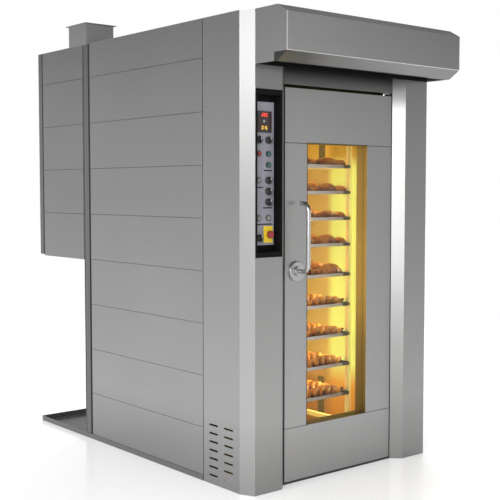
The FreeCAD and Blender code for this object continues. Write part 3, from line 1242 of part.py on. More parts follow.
def door_gasket():
    """Four strips that meet at the corners round the chamber's mouth."""
    y0 = DOOR_BACK_Y
    y1 = FRAME_FACE_Y - LOOSE
    inner = MOUTH_HALF_W
    outer = inner + GASKET_W
    z0 = MOUTH_BOTTOM_Z - GASKET_W + 2.0
    z1 = CHAMBER_CEILING_Z + GASKET_W
    return [
        box(-outer, -inner, y0, y1, z0, z1),
        box(inner, outer, y0, y1, z0, z1),
        box(-inner, inner, y0, y1, z0, z0 + GASKET_W),
        box(-inner, inner, y0, y1, z1 - GASKET_W, z1),
    ]


def handle_rosette():
    """Round boss on the door with a raised collar round the handle."""
    y1 = DOOR_Y
    disc = rod(ROSETTE_R, HANDLE_X, y1 - ROSETTE_THICK, HANDLE_Z, ROSETTE_THICK, Y_AXIS)
    rim = [e for e in disc.Edges if e.BoundBox.YMax < y1 - ROSETTE_THICK + 0.01]
    disc = disc.makeFillet(ROSETTE_EDGE_R, rim)
    top_y = y1 - ROSETTE_THICK - COLLAR_H
    collar = rod(COLLAR_R, HANDLE_X, top_y, HANDLE_Z, COLLAR_H + 2, Y_AXIS)
    body = fuse([disc, collar])
    return [body.cut(rod(HANDLE_TUBE_R + RUNNING, HANDLE_X, top_y - 1, HANDLE_Z, y1 - top_y + 2, Y_AXIS))]


def handle_lever():
    """Bent tube: out of the rosette, up, and back towards the door, with its spindle."""
    r = HANDLE_BEND_R
    y_in = DOOR_Y - LOOSE
    y_bar = HANDLE_BAR_Y
    z_low = HANDLE_Z
    z_top = HANDLE_Z + HANDLE_RISE
    x = HANDLE_X
    turn = r * math.sqrt(0.5)
    low_arc = Part.Arc(V(x, y_bar + r, z_low), V(x, y_bar + r - turn, z_low + r - turn), V(x, y_bar, z_low + r))
    top_arc = Part.Arc(V(x, y_bar, z_top - r), V(x, y_bar + r - turn, z_top - r + turn), V(x, y_bar + r, z_top))
    path = Part.Wire([
        Part.makeLine(V(x, y_in, z_low), V(x, y_bar + r, z_low)),
        low_arc.toShape(),
        Part.makeLine(V(x, y_bar, z_low + r), V(x, y_bar, z_top - r)),
        top_arc.toShape(),
        Part.makeLine(V(x, y_bar + r, z_top), V(x, DOOR_Y - HANDLE_END_GAP, z_top)),
    ])
    circle = Part.Wire(Part.makeCircle(HANDLE_TUBE_R, V(x, y_in, z_low), Y_AXIS))
    bar = path.makePipeShell([circle], True, False)
    spindle = rod(SPINDLE_R, x, y_in - 1, z_low, CAM_Y + CAM_THICK - y_in + 1, Y_AXIS)
    return [fuse([bar, spindle])]


def latch_cam():
    """Tongue on the handle's spindle that reaches past the door's edge."""
    tongue = box(HANDLE_X - CAM_REACH, HANDLE_X, CAM_Y, CAM_Y + CAM_THICK,
                 HANDLE_Z - CAM_HALF_W, HANDLE_Z + CAM_HALF_W)
    eye = rod(CAM_HALF_W, HANDLE_X, CAM_Y, HANDLE_Z, CAM_THICK, Y_AXIS)
    return [fuse([tongue, eye]).cut(rod(SPINDLE_R, HANDLE_X, CAM_Y - 1, HANDLE_Z, CAM_THICK + 2, Y_AXIS))]


def door_pivots():
    """Pins and plates that carry the door, and the strike block behind the latch tongue."""
    top_plate = box(PIVOT_X - PIVOT_PLATE_REACH, JAMB_HALF - 2, PIVOT_Y - PIVOT_PLATE_HALF_D,
                    PIVOT_Y + PIVOT_PLATE_HALF_D, HEADER_BOTTOM_Z - PIVOT_PLATE_T, HEADER_BOTTOM_Z)
    top_pin = rod(PIVOT_R, PIVOT_X, PIVOT_Y, DOOR_TOP_Z - PIVOT_REACH,
                  HEADER_BOTTOM_Z - DOOR_TOP_Z + PIVOT_REACH, Z_AXIS)
    low_pin = rod(PIVOT_R, PIVOT_X, PIVOT_Y, SILL_H, DOOR_BOTTOM_Z - SILL_H + PIVOT_REACH, Z_AXIS)
    strike_y = CAM_Y + CAM_THICK + CAM_ROOM
    strike = box(-JAMB_HALF, -DOOR_HALF_W - CAM_ROOM, strike_y, strike_y + STRIKE_D,
                 HANDLE_Z - STRIKE_HALF_H, HANDLE_Z + STRIKE_HALF_H)
    return [fuse([top_plate, top_pin]), low_pin, strike]


# ================================================================ control panel
def control_places():
    """Every hole in the control plate: x, z and hole radius."""
    places = [(x, z, KNOB_SHAFT_R + RUNNING) for x, z in KNOBS.values()]
    places += [(x, z, BUTTON_STEM_R + LOOSE) for x, z in BUTTONS.values()]
    places += [(STOP_AT[0], STOP_AT[1], BUTTON_STEM_R + LOOSE)]
    places += [(SET_BUTTON_X, SET_BUTTON_Z, BUTTON_STEM_R + LOOSE)]
    return places


def plate_holes(y0, depth):
    return [rod(r, x, y0, z, depth, Y_AXIS) for x, z, r in control_places()]


def control_box():
    """Black bezel and the recess behind it, with contact blocks behind the recess, and two screws."""
    x0 = BEZEL_LEFT_X
    x1 = BEZEL_RIGHT_X
    z0 = BEZEL_BOTTOM_Z
    z1 = BEZEL_TOP_Z
    yf = FASCIA_Y - BEZEL_PROUD
    yb = PLATE_Y + PLATE_THICK
    s = SHEET
    bezel = box(x0, x1, yf, FASCIA_Y, z0, z1)
    sleeve = box(x0 + BEZEL_SIDE - s, x1 - BEZEL_SIDE + s, FASCIA_Y, yb + s, z0 + BEZEL_END - s,
                 z1 - BEZEL_END + s)
    room = box(x0 + BEZEL_SIDE, x1 - BEZEL_SIDE, yf - 1, yb, z0 + BEZEL_END, z1 - BEZEL_END)
    body = fuse([bezel, sleeve]).cut(room).cut(plate_holes(yb - 1, s + 2))
    x_mid = (x0 + x1) / 2
    screws = []
    for z in (z0 + BEZEL_SCREW, z1 - BEZEL_SCREW):
        screws.append(rod(SCREW_R, x_mid, yf - SCREW_H, z, SCREW_H, Y_AXIS))
    blocks = []
    for x, z, r in control_places():
        block = box(x - BLOCK_HALF, x + BLOCK_HALF, yb + s, yb + s + BLOCK_DEPTH, z - BLOCK_HALF, z + BLOCK_HALF)
        blocks.append(block.cut(rod(r, x, yb, z, STEM_LEN + 8.0, Y_AXIS)))
    return [body] + screws + blocks


def control_plate():
    plate = box(PLATE_LEFT_X, PLATE_RIGHT_X, PLATE_Y, PLATE_Y + PLATE_THICK, PLATE_BOTTOM_Z, PLATE_TOP_Z)
    return [plate.cut(plate_holes(PLATE_Y - 1, PLATE_THICK + 2))]


def display_module():
    """Flat housing with two windows and a hole for its button."""
    x0 = DISPLAY_X - DISPLAY_W / 2
    z0 = DISPLAY_Z - DISPLAY_H / 2
    y0 = PLATE_Y - DISPLAY_THICK
    housing = box(x0, x0 + DISPLAY_W, y0, PLATE_Y, z0, z0 + DISPLAY_H)
    w = DISPLAY_WINDOW_HALF_W
    for z, h in DISPLAY_WINDOWS:
        housing = housing.cut(box(DISPLAY_X - w, DISPLAY_X + w, y0 - 1, y0 + 1.0, z - h / 2, z + h / 2))
    hole = rod(SET_BUTTON_R + LOOSE, SET_BUTTON_X, y0 - 1, SET_BUTTON_Z, DISPLAY_THICK + 1, Y_AXIS)
    return [housing.cut(hole)]


def control_bezels():
    """Metal rings round the push buttons and the pilot lamps."""
    rings = []
    for x, z in list(BUTTONS.values()) + LAMPS:
        ring = rod(BUTTON_RING_R, x, PLATE_Y - BUTTON_RING_H, z, BUTTON_RING_H, Y_AXIS)
        rings.append(ring.cut(rod(BUTTON_R + LOOSE, x, PLATE_Y - 20, z, 21, Y_AXIS)))
    return rings


def pilot_lamps():
    """Domed lenses in their rings."""
    lenses = []
    for x, z in LAMPS:
        lens = rod(BUTTON_R, x, PLATE_Y - BUTTON_RING_H - 3, z, BUTTON_RING_H + 3, Y_AXIS)
        rim = [e for e in lens.Edges if e.BoundBox.YMax < PLATE_Y - BUTTON_RING_H]
        lenses.append(lens.makeFillet(2.5, rim))
    return lenses


def knob(x, z):
    """Round knob with a raised grip and a shaft through the plate."""
    y0 = PLATE_Y - LOOSE
    skirt_h = KNOB_H - KNOB_GRIP_H
    skirt = rod(KNOB_R, x, y0 - skirt_h, z, skirt_h, Y_AXIS)
    edge = [e for e in skirt.Edges if e.BoundBox.YMax < y0 - skirt_h + 0.01]
    skirt = skirt.makeChamfer(2.0, edge)
    grip = box(x - KNOB_GRIP_W / 2, x + KNOB_GRIP_W / 2, y0 - KNOB_H, y0 - skirt_h + 1, z - KNOB_R + 3, z + KNOB_R - 3)
    shaft = rod(KNOB_SHAFT_R, x, y0 - 1, z, STEM_LEN + 1, Y_AXIS)
    return [fuse([skirt, grip, shaft])]


def push_button(x, z):
    """Flat button that stands out of its ring, with its stem."""
    face_y = PLATE_Y - BUTTON_RING_H - BUTTON_PROUD
    back_y = PLATE_Y - BUTTON_PROUD - 1.0
    cap = rod(BUTTON_R, x, face_y, z, back_y - face_y, Y_AXIS)
    edge = [e for e in cap.Edges if e.BoundBox.YMax < face_y + 0.01]
    cap = cap.makeFillet(1.5, edge)
    stem = rod(BUTTON_STEM_R, x, back_y - 1, z, PLATE_Y + STEM_LEN - back_y + 1, Y_AXIS)
    return [fuse([cap, stem])]


def emergency_plate():
    """Yellow backing plate of the emergency stop, with its collar."""
    x, z = STOP_AT
    plate = box(x - STOP_PLATE_W / 2, x + STOP_PLATE_W / 2, PLATE_Y - 2, PLATE_Y, z - STOP_PLATE_H / 2,
                z + STOP_PLATE_H / 2)
    collar = rod(STOP_COLLAR_R, x, PLATE_Y - STOP_COLLAR_H, z, STOP_COLLAR_H - 1, Y_AXIS)
    return [fuse([plate, collar]).cut(rod(BUTTON_STEM_R + LOOSE, x, PLATE_Y - 20, z, 21, Y_AXIS))]


def emergency_button():
    """Mushroom head on a stem."""
    x, z = STOP_AT
    y0 = PLATE_Y - MUSHROOM_LIFT
    head = rod(MUSHROOM_R, x, y0 - MUSHROOM_H + 6, z, MUSHROOM_H, Y_AXIS)
    rim = [e for e in head.Edges if e.BoundBox.YMax < y0 - MUSHROOM_H + 6.01]
    head = head.makeFillet(5.0, rim)
    stem = rod(BUTTON_STEM_R, x, y0, z, MUSHROOM_LIFT + STEM_LEN, Y_AXIS)
    return [fuse([head, stem])]


def set_button():
    y0 = PLATE_Y - DISPLAY_THICK - SET_BUTTON_H / 2
    cap = rod(SET_BUTTON_R, SET_BUTTON_X, y0, SET_BUTTON_Z, SET_BUTTON_H, Y_AXIS)
    stem = rod(BUTTON_STEM_R, SET_BUTTON_X, y0 + 5, SET_BUTTON_Z, PLATE_Y + STEM_LEN - y0 - 5, Y_AXIS)
    return [fuse([cap, stem])]


# ================================================================ write every node
def main():
    os.makedirs("parts", exist_ok=True)
    save("base_pan", base_pan())
    save("black_frame", black_frame())
    save("left_side_panels", side_panels(-1))
    save("right_side_panels", side_panels(1))
    save("left_front_column", [left_column()])
    save("right_front_column", [mirror_x(plain_column())])
    save("rear_posts", rear_posts())
    save("roof_and_back_panels", roof_and_back_panels())
    save("hood", hood())
    save("door_header", door_header())
    save("wall_insulation", wall_insulation())
    save("chamber_liner", chamber_liner())
    save("air_duct_panels", air_duct_panels())
    save("steam_generator", steam_generator())
    save("chamber_lamps", chamber_lamps())
    save("rear_casing_panels", rear_casing_panels())
    save("heat_exchanger", heat_exchanger())
    save("fan_motor", fan_motor())
    save("fan_impeller", fan_impeller())
    save("flue_casing", flue_casing())
    save("service_inlets", service_inlets())
    save("rotor_drive_unit", rotor_drive_unit())
    save("drive_pinion", drive_pinion())
    save("drive_shaft", drive_shaft())
    save("turntable", turntable())
    save("rack_frame", rack_frame())
    save("baking_trays", [baking_tray(level) for level in TRAY_ZS])
    save("bread_load", bread_load())
    for name, (x, y) in castor_places().items():
        save("castor_wheel_" + name, [castor_wheel(x, y)])
        if name in SWIVELS:
            save("castor_fork_" + name, [castor_fork(x, y, RACK_BASE_Z - STEM_SEAT)])
    save("door_skin", door_skin())
    save("door_frame", door_frame())
    save("door_insulation", door_insulation())
    save("window_glass", window_glass())
    save("door_gasket", door_gasket())
    save("door_pivots", door_pivots())
    save("handle_rosette", handle_rosette())
    save("handle_lever", handle_lever())
    save("latch_cam", latch_cam())
    save("control_box", control_box())
    save("control_plate", control_plate())
    save("display_module", display_module())
    save("control_bezels", control_bezels())
    save("pilot_lamps", pilot_lamps())
    save("emergency_plate", emergency_plate())
    save("emergency_button", emergency_button())
    save("set_button", set_button())
    for name, (x, z) in KNOBS.items():
        save(name, knob(x, z))
    for name, (x, z) in BUTTONS.items():
        save(name, push_button(x, z))


main()
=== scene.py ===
"""Looks of the rotating rack oven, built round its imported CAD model."""

import logging
import math
import random
from dataclasses import dataclass, field
from enum import Enum
from typing import Callable, Iterable, Mapping, Optional, Sequence, Union

import bpy
from mathutils import Euler, Matrix, Vector


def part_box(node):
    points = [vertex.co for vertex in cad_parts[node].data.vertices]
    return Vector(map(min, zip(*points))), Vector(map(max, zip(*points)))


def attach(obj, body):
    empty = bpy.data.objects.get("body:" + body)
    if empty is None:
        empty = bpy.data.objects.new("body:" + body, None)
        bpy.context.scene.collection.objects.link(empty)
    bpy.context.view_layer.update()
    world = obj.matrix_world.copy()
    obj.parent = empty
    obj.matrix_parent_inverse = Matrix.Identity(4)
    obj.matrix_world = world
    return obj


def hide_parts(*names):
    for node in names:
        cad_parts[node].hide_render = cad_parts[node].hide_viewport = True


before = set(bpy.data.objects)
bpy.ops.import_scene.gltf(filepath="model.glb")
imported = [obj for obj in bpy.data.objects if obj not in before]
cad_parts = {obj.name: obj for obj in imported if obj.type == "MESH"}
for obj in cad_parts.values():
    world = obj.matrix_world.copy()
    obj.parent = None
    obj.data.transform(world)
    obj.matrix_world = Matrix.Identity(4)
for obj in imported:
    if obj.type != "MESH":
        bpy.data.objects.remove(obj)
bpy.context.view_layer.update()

LOG = logging.getLogger("rack_oven")
Colour = tuple[float, float, float]
Number = Union["Wire", float]
Paint = Union["Wire", Colour]
Tint = tuple[tuple[float, float], ...]
Region = tuple[tuple[float, float], tuple[float, float], tuple[float, float]]


class Axis(Enum):
    """Direction in which a sheet's brushed grain runs."""

    X = (0.6, 40.0, 40.0)
    Y = (40.0, 0.6, 40.0)
    Z = (40.0, 40.0, 0.6)


# ------------------------------------------------------------------ shader tools
class Wire:
    """An output socket that takes part in Python arithmetic."""

    def __init__(self, sheet: "Sheet", socket: bpy.types.NodeSocket) -> None:
        """Keep the socket and the material it belongs to."""
        self.sheet = sheet
        self.socket = socket

    def _maths(self, operation: str, first: Number, second: Number = 0.0) -> "Wire":
        """Add one Math node."""
        made = self.sheet.node("ShaderNodeMath", {"operation": operation}, {0: first, 1: second})
        return Wire(self.sheet, made.outputs[0])

    def __add__(self, other: Number) -> "Wire":
        """Sum."""
        return self._maths("ADD", self, other)

    def __radd__(self, other: Number) -> "Wire":
        """Sum with a number on the left."""
        return self._maths("ADD", other, self)

    def __sub__(self, other: Number) -> "Wire":
        """Difference."""
        return self._maths("SUBTRACT", self, other)

    def __rsub__(self, other: Number) -> "Wire":
        """Difference from a number on the left."""
        return self._maths("SUBTRACT", other, self)

    def __mul__(self, other: Number) -> "Wire":
        """Product."""
        return self._maths("MULTIPLY", self, other)

    def __rmul__(self, other: Number) -> "Wire":
        """Product with a number on the left."""
        return self._maths("MULTIPLY", other, self)

    def __gt__(self, other: Number) -> "Wire":
        """1 where this is greater, else 0."""
        return self._maths("GREATER_THAN", self, other)

    def __lt__(self, other: Number) -> "Wire":
        """1 where this is less, else 0."""
        return self._maths("LESS_THAN", self, other)

    def clamped(self) -> "Wire":
        """The value held between 0 and 1."""
        return self._maths("MINIMUM", self._maths("MAXIMUM", self, 0.0), 1.0)


class Sheet:
    """A material while its nodes are being laid out."""

    def __init__(self, name: str) -> None:
        """Start an empty node material.

        Args:
            name: The material's name.
        """
        self.material = bpy.data.materials.new(name)
        self.material.use_nodes = True
        self.tree = self.material.node_tree
        self.tree.nodes.clear()

    def node(
        self,
        kind: str,
        settings: Optional[Mapping[str, object]] = None,
        sockets: Optional[Mapping[Union[int, str], object]] = None,
    ) -> bpy.types.Node:
        """Add any node.

        Args:
            kind: The node's type.
            settings: Properties, set first; "stops" fills a colour ramp.
            sockets: Values or wires, by input name or number.

        Returns:
            The new node.
        """
        made = self.tree.nodes.new(kind)
        for key, value in (settings or {}).items():
            if key == "stops":
                self._fill_ramp(made.color_ramp, value)
            else:
                setattr(made, key, value)
        for key, value in (sockets or {}).items():
            if isinstance(value, Wire):
                self.tree.links.new(value.socket, made.inputs[key])
            else:
                made.inputs[key].default_value = value
        return made

    @staticmethod
    def _fill_ramp(ramp: bpy.types.ColorRamp, stops: Sequence[tuple[float, Colour]]) -> None:
        """Give a colour ramp its stops.

        Args:
            ramp: The ramp, with two stops or more.
            stops: Places from 0 to 1 and their colours.
        """
        while len(ramp.elements) < len(stops):
            ramp.elements.new(1.0)
        for element, (place, colour) in zip(ramp.elements, stops):
            element.position = place
            element.color = (*colour, 1.0)

    def place(self) -> Wire:
        """Object coordinates."""
        return Wire(self, self.node("ShaderNodeTexCoord").outputs["Object"])

    def parts(self, vector: Wire) -> tuple[Wire, Wire, Wire]:
        """A vector's three numbers."""
        made = self.node("ShaderNodeSeparateXYZ", None, {0: vector})
        return tuple(Wire(self, made.outputs[i]) for i in range(3))

    def noise(self, stretch: Sequence[float], scale: float, detail: float = 2.0) -> Wire:
        """Noise from 0 to 1, stretched along the axes.

        Args:
            stretch: Factors for the object's coordinates.
            scale: The noise's scale.
            detail: Its detail.

        Returns:
            The noise value.
        """
        mapped = self.node("ShaderNodeMapping", None, {"Vector": self.place(), "Scale": tuple(stretch)})
        made = self.node(
            "ShaderNodeTexNoise",
            None,
            {"Vector": Wire(self, mapped.outputs[0]), "Scale": scale, "Detail": detail},
        )
        return Wire(self, made.outputs["Fac"])

    def ramp(self, value: Wire, stops: Sequence[tuple[float, Colour]]) -> Wire:
        """Colours along a value."""
        made = self.node("ShaderNodeValToRGB", {"stops": stops}, {"Fac": value})
        return Wire(self, made.outputs["Color"])

    def mix(self, share: Number, first: "Paint", second: "Paint") -> Wire:
        """Blend two colours.

        Args:
            share: How much of the second colour, from 0 to 1.
            first: A colour, or a wire that carries one.
            second: A colour, or a wire that carries one.

        Returns:
            The blend.
        """
        made = self.node("ShaderNodeMix", {"data_type": "RGBA"}, {"Factor": share})
        for key, value in ((6, first), (7, second)):
            if isinstance(value, Wire):
                self.tree.links.new(value.socket, made.inputs[key])
            else:
                made.inputs[key].default_value = (*value, 1.0)
        return Wire(self, made.outputs[2])

    def within(self, region: "Region") -> Wire:
        """1 inside a box, else 0.

        Args:
            region: A low and a high limit for each of X, Y and Z.

        Returns:
            The mask.
        """
        mask: Optional[Wire] = None
        for value, (low, high) in zip(self.parts(self.place()), region):
            inside = (value > low) * (value < high)
            mask = inside if mask is None else mask * inside
        return mask

    def along(self, axis: int, tint: "Tint") -> Wire:
        """Grey factors that follow one coordinate.

        Args:
            axis: 0, 1 or 2 for X, Y or Z.
            tint: Pairs of a place in metres and a factor, in rising order.

        Returns:
            The factor as a grey.
        """
        low, high = tint[0][0], tint[-1][0]
        share = (self.parts(self.place())[axis] - low) * (1.0 / (high - low))
        return self.ramp(share, [((place - low) / (high - low), grey(factor)) for place, factor in tint])

    def product(self, first: Wire, second: Wire) -> Wire:
        """One colour times another."""
        made = self.node("ShaderNodeMix", {"data_type": "RGBA", "blend_type": "MULTIPLY"}, {"Factor": 1.0})
        self.tree.links.new(first.socket, made.inputs[6])
        self.tree.links.new(second.socket, made.inputs[7])
        return Wire(self, made.outputs[2])

    def bump(self, height: Wire, strength: float, distance: float) -> Wire:
        """Normal from a height."""
        sockets = {"Height": height, "Strength": strength, "Distance": distance}
        made = self.node("ShaderNodeBump", None, sockets)
        return Wire(self, made.outputs["Normal"])

    def finish(self, sockets: Mapping[Union[int, str], object]) -> bpy.types.Material:
        """Close the material with one Principled shader.

        Args:
            sockets: Values or wires for the shader, by input name.

        Returns:
            The finished material.
        """
        shader = self.node("ShaderNodeBsdfPrincipled", None, sockets)
        output = self.node("ShaderNodeOutputMaterial")
        self.tree.links.new(shader.outputs[0], output.inputs["Surface"])
        return self.material


def grey(level: float) -> Colour:
    """A neutral colour."""
    return (level, level, level)


def shade(colour: Colour, factor: float) -> Colour:
    """A colour made darker or lighter."""
    return tuple(min(1.0, c * factor) for c in colour)


# ------------------------------------------------------------------ finishes
@dataclass(frozen=True)
class BrushedSheet:
    """Satin stainless sheet: a fine grain, a faint cloud, painted light and shade as ramps along height and
    width, a ramp along depth, painted shade and painted reflection over one region, painted highlights, and
    black seals, some of them painted shadow.
    """

    name: str
    tone: Colour
    grain: Axis = Axis.Z
    roughness: float = 0.36
    metallic: float = 0.8
    grain_depth: float = 0.08
    # upwards and across: factors along height and width, painted light and shade. inwards: factors along
    # depth.
    upwards: Tint = ()
    across: Tint = ()
    inwards: Tint = ()
    # Boxes painted brighter by a gain: painted highlights and painted reflection.
    painted_highlights: tuple[Region, ...] = ()
    highlight_gain: float = 1.9
    # A box whose colour a tint scales along one axis: painted shade and painted reflection.
    shaded: Optional[Region] = None
    shaded_axis: int = 0
    shaded_tint: Tint = ()
    # Boxes painted near-black: dark seals and painted shadow.
    seals_and_painted_shadow: tuple[Region, ...] = ()
    seal_and_shadow_colour: Colour = (0.02, 0.02, 0.02)

    def paint(self) -> bpy.types.Material:
        """Build the material."""
        sheet = Sheet(self.name)
        fine = sheet.noise(self.grain.value, 9.0, 3.0)
        broad = sheet.noise((1.0, 1.0, 1.0), 1.3, 2.0)
        level = (fine * 0.6 + broad * 0.4).clamped()
        colour = sheet.ramp(level, [(0.25, shade(self.tone, 0.93)), (0.75, shade(self.tone, 1.07))])
        # Painted light and shade along height and width; the ramp along depth.
        for axis, tint in ((2, self.upwards), (0, self.across), (1, self.inwards)):
            if tint:
                colour = sheet.product(colour, sheet.along(axis, tint))
        # Painted highlights and painted reflection.
        for region in self.painted_highlights:
            colour = sheet.mix(sheet.within(region), colour, shade(self.tone, self.highlight_gain))
        # Painted shade and painted reflection over one box.
        if self.shaded:
            painted_shading = sheet.product(colour, sheet.along(self.shaded_axis, self.shaded_tint))
            colour = sheet.mix(sheet.within(self.shaded), colour, painted_shading)
        # Black seals and painted shadow.
        for region in self.seals_and_painted_shadow:
            colour = sheet.mix(sheet.within(region), colour, self.seal_and_shadow_colour)
        return sheet.finish(
            {
                "Base Color": colour,
                "Metallic": self.metallic,
                "Roughness": (fine * 0.12 + (self.roughness - 0.06)).clamped(),
                "Normal": sheet.bump(fine, self.grain_depth, 0.0004),
            }
        )


@dataclass(frozen=True)
class Enamel:
    """Paint, rubber or moulded plastic with a fine grain and slight unevenness."""

    name: str
    colour: Colour
    roughness: float = 0.4
    grain: float = 900.0
    depth: float = 0.08
    metallic: float = 0.0
    sheen: float = 0.5

    def paint(self) -> bpy.types.Material:
        """Build the material."""
        sheet = Sheet(self.name)
        speck = sheet.noise((1.0, 1.0, 1.0), self.grain, 2.0)
        cloud = sheet.noise((1.0, 1.0, 1.0), 14.0, 2.0)
        colour = sheet.ramp(cloud, [(0.3, shade(self.colour, 0.9)), (0.7, shade(self.colour, 1.1))])
        return sheet.finish(
            {
                "Base Color": colour,
                "Metallic": self.metallic,
                "Specular IOR Level": self.sheen,
                "Roughness": (speck * 0.1 + (self.roughness - 0.05)).clamped(),
                "Normal": sheet.bump(speck, self.depth, 0.0002),
            }
        )


@dataclass(frozen=True)
class Wool:
    """Mineral wool: matted fibres in two tones."""

    name: str
    colour: Colour

    def paint(self) -> bpy.types.Material:
        """Build the material."""
        sheet = Sheet(self.name)
        fibre = sheet.noise((1.0, 1.0, 4.0), 70.0, 6.0)
        colour = sheet.ramp(fibre, [(0.3, shade(self.colour, 0.6)), (0.7, self.colour)])
        return sheet.finish(
            {"Base Color": colour, "Roughness": 0.95, "Normal": sheet.bump(fibre, 0.6, 0.002)}
        )


@dataclass(frozen=True)
class Crust:
    """Baked crust: lighter golden where it faces up and red brown to near black where it faces sideways and
    down, painted light and shade, mixed with patchy browning and blisters.
    """

    name: str
    crown: Colour = (0.62, 0.25, 0.028)
    flank: Colour = (0.31, 0.080, 0.005)
    painted_shade_brown: Colour = (0.07, 0.011, 0.001)

    def paint(self) -> bpy.types.Material:
        """Build the material."""
        sheet = Sheet(self.name)
        patch = sheet.noise((1.0, 1.0, 1.0), 22.0, 4.0)
        blister = sheet.noise((1.0, 1.0, 1.0), 160.0, 3.0)
        facing = Wire(sheet, sheet.node("ShaderNodeNewGeometry").outputs["Normal"])
        # Faces turned up are lighter and faces turned sideways and down darker: painted light and shade; the
        # patch noise is uneven browning.
        up = sheet.parts(facing)[2]
        share = (up * 0.50 + patch * 1.8 - 0.50).clamped()
        colour = sheet.ramp(share, [(0.12, self.painted_shade_brown), (0.42, self.flank), (0.9, self.crown)])
        return sheet.finish(
            {
                "Base Color": colour,
                "Roughness": (blister * 0.2 + 0.32).clamped(),
                "Coat Weight": 0.15,
                "Coat Roughness": 0.25,
                "Normal": sheet.bump(blister * 0.6 + patch * 0.4, 0.35, 0.003),
            }
        )


@dataclass(frozen=True)
class Pane:
    """Clear window glass with a faint smoky film."""

    name: str
    tint: Colour = (0.10, 0.095, 0.08)
    film: float = 0.05

    def paint(self) -> bpy.types.Material:
        """Build the material."""
        sheet = Sheet(self.name)
        smear = sheet.noise((1.0, 1.0, 1.0), 3.0, 3.0)
        return sheet.finish(
            {
                "Base Color": (*self.tint, 1.0),
                "Roughness": (smear * 0.05 + 0.02).clamped(),
                "Alpha": (smear * 0.03 + (self.film - 0.015)).clamped(),
            }
        )


@dataclass(frozen=True)
class LampGlass:
    """Frosted lamp glass that shines from behind."""

    name: str
    colour: Colour
    strength: float

    def paint(self) -> bpy.types.Material:
        """Build the material."""
        sheet = Sheet(self.name)
        ribs = sheet.noise((1.0, 1.0, 1.0), 60.0, 2.0)
        glow = sheet.ramp(ribs, [(0.3, shade(self.colour, 0.85)), (0.7, self.colour)])
        return sheet.finish(
            {
                "Base Color": (*self.colour, 1.0),
                "Roughness": 0.4,
                "Emission Color": glow,
                "Emission Strength": self.strength,
            }
        )


@dataclass(frozen=True)
class LamplitChamberSteel:
    """Chamber steel with the lamps' light painted in: yellow near the lamps, amber beyond as painted falloff,
    painted shade at foot and ceiling, towards the door and in one strip.
    """

    name: str
    # The lamps' light and its falloff are painted into these colours.
    yellow: Colour = (0.68, 0.87, 0.38)
    amber: Colour = (0.55, 0.43, 0.19)
    ceiling_shade_yellow: Colour = (0.46, 0.32, 0.045)
    ceiling_shade_amber: Colour = (0.68, 0.50, 0.09)
    foot_shade_yellow: Colour = (0.60, 0.30, 0.055)
    foot_shade_amber: Colour = (0.42, 0.24, 0.08)
    shade_strip_colour: Colour = (0.14, 0.125, 0.05)
    edge: tuple[float, float] = (-0.285, -0.231)
    ceiling: tuple[float, float] = (1.655, 1.735)
    foot: tuple[float, float] = (0.46, 0.32)
    inwards: Tint = ((-0.60, 0.50), (-0.485, 0.58), (-0.43, 0.74), (-0.37, 0.86), (-0.30, 0.94), (-0.20, 1.0))
    strip: tuple[float, float] = (-0.213, -0.155)
    strip_ends: tuple[float, float] = (0.345, 1.655)
    wall: float = 0.50
    roughness: float = 0.42

    def step(self, value: Wire, ends: tuple[float, float]) -> Wire:
        """0 at the first end and 1 at the second, straight between them."""
        return ((value - ends[0]) * (1.0 / (ends[1] - ends[0]))).clamped()

    def paint(self) -> bpy.types.Material:
        """Build the material."""
        sheet = Sheet(self.name)
        grain = sheet.noise(Axis.Z.value, 9.0, 3.0)
        x, y, z = sheet.parts(sheet.place())
        # Yellow near the lamps and amber beyond: painted lamplight and its falloff.
        amber = self.step(y, self.edge)
        ends = (z < self.strip_ends[0]) + (z > self.strip_ends[1])
        strip = (y > self.strip[0]) * (y < self.strip[1]) * ends
        middle = sheet.mix(amber, self.yellow, self.amber)
        above = sheet.mix(amber, self.ceiling_shade_yellow, self.ceiling_shade_amber)
        below = sheet.mix(amber, self.foot_shade_yellow, self.foot_shade_amber)
        # Other colours at foot and ceiling: painted shade.
        lower = sheet.mix(self.step(z, self.foot), middle, below)
        tinted = sheet.mix(self.step(z, self.ceiling), lower, above)
        # Darker towards the door: painted shade.
        darker_towards_door = sheet.product(tinted, sheet.along(1, self.inwards))
        # A dark strip on the right wall above and below the trays: painted shade.
        colour = sheet.mix(strip * (x > self.wall), darker_towards_door, self.shade_strip_colour)
        return sheet.finish(
            {
                "Base Color": colour,
                "Metallic": 0.35,
                "Roughness": (grain * 0.1 + (self.roughness - 0.05)).clamped(),
                "Normal": sheet.bump(grain, 0.06, 0.0004),
            }
        )


@dataclass(frozen=True)
class LegendPlate:
    """Lavender grey panel with short printed bars over and under its controls."""

    name: str
    ground: Colour
    ink: Colour
    bars: tuple[tuple[float, float, float, float], ...]

    def paint(self) -> bpy.types.Material:
        """Build the material."""
        sheet = Sheet(self.name)
        x, _, z = sheet.parts(sheet.place())
        mask: Optional[Wire] = None
        for x0, x1, z0, z1 in self.bars:
            bar = (x > x0) * (x < x1) * (z > z0) * (z < z1)
            mask = bar if mask is None else mask + bar
        cloud = sheet.noise((1.0, 1.0, 1.0), 9.0, 2.0)
        ground = sheet.ramp(cloud, [(0.3, shade(self.ground, 0.94)), (0.7, shade(self.ground, 1.06))])
        speck = sheet.noise((1.0, 1.0, 1.0), 1200.0, 1.0)
        return sheet.finish(
            {
                "Base Color": sheet.mix(mask.clamped(), ground, self.ink),
                "Roughness": (cloud * 0.1 + 0.35).clamped(),
                "Normal": sheet.bump(speck, 0.05, 0.0002),
            }
        )


# ------------------------------------------------------------------ mesh tools
def clear_selection() -> None:
    """Deselect every object."""
    for thing in bpy.context.selected_objects:
        thing.select_set(False)


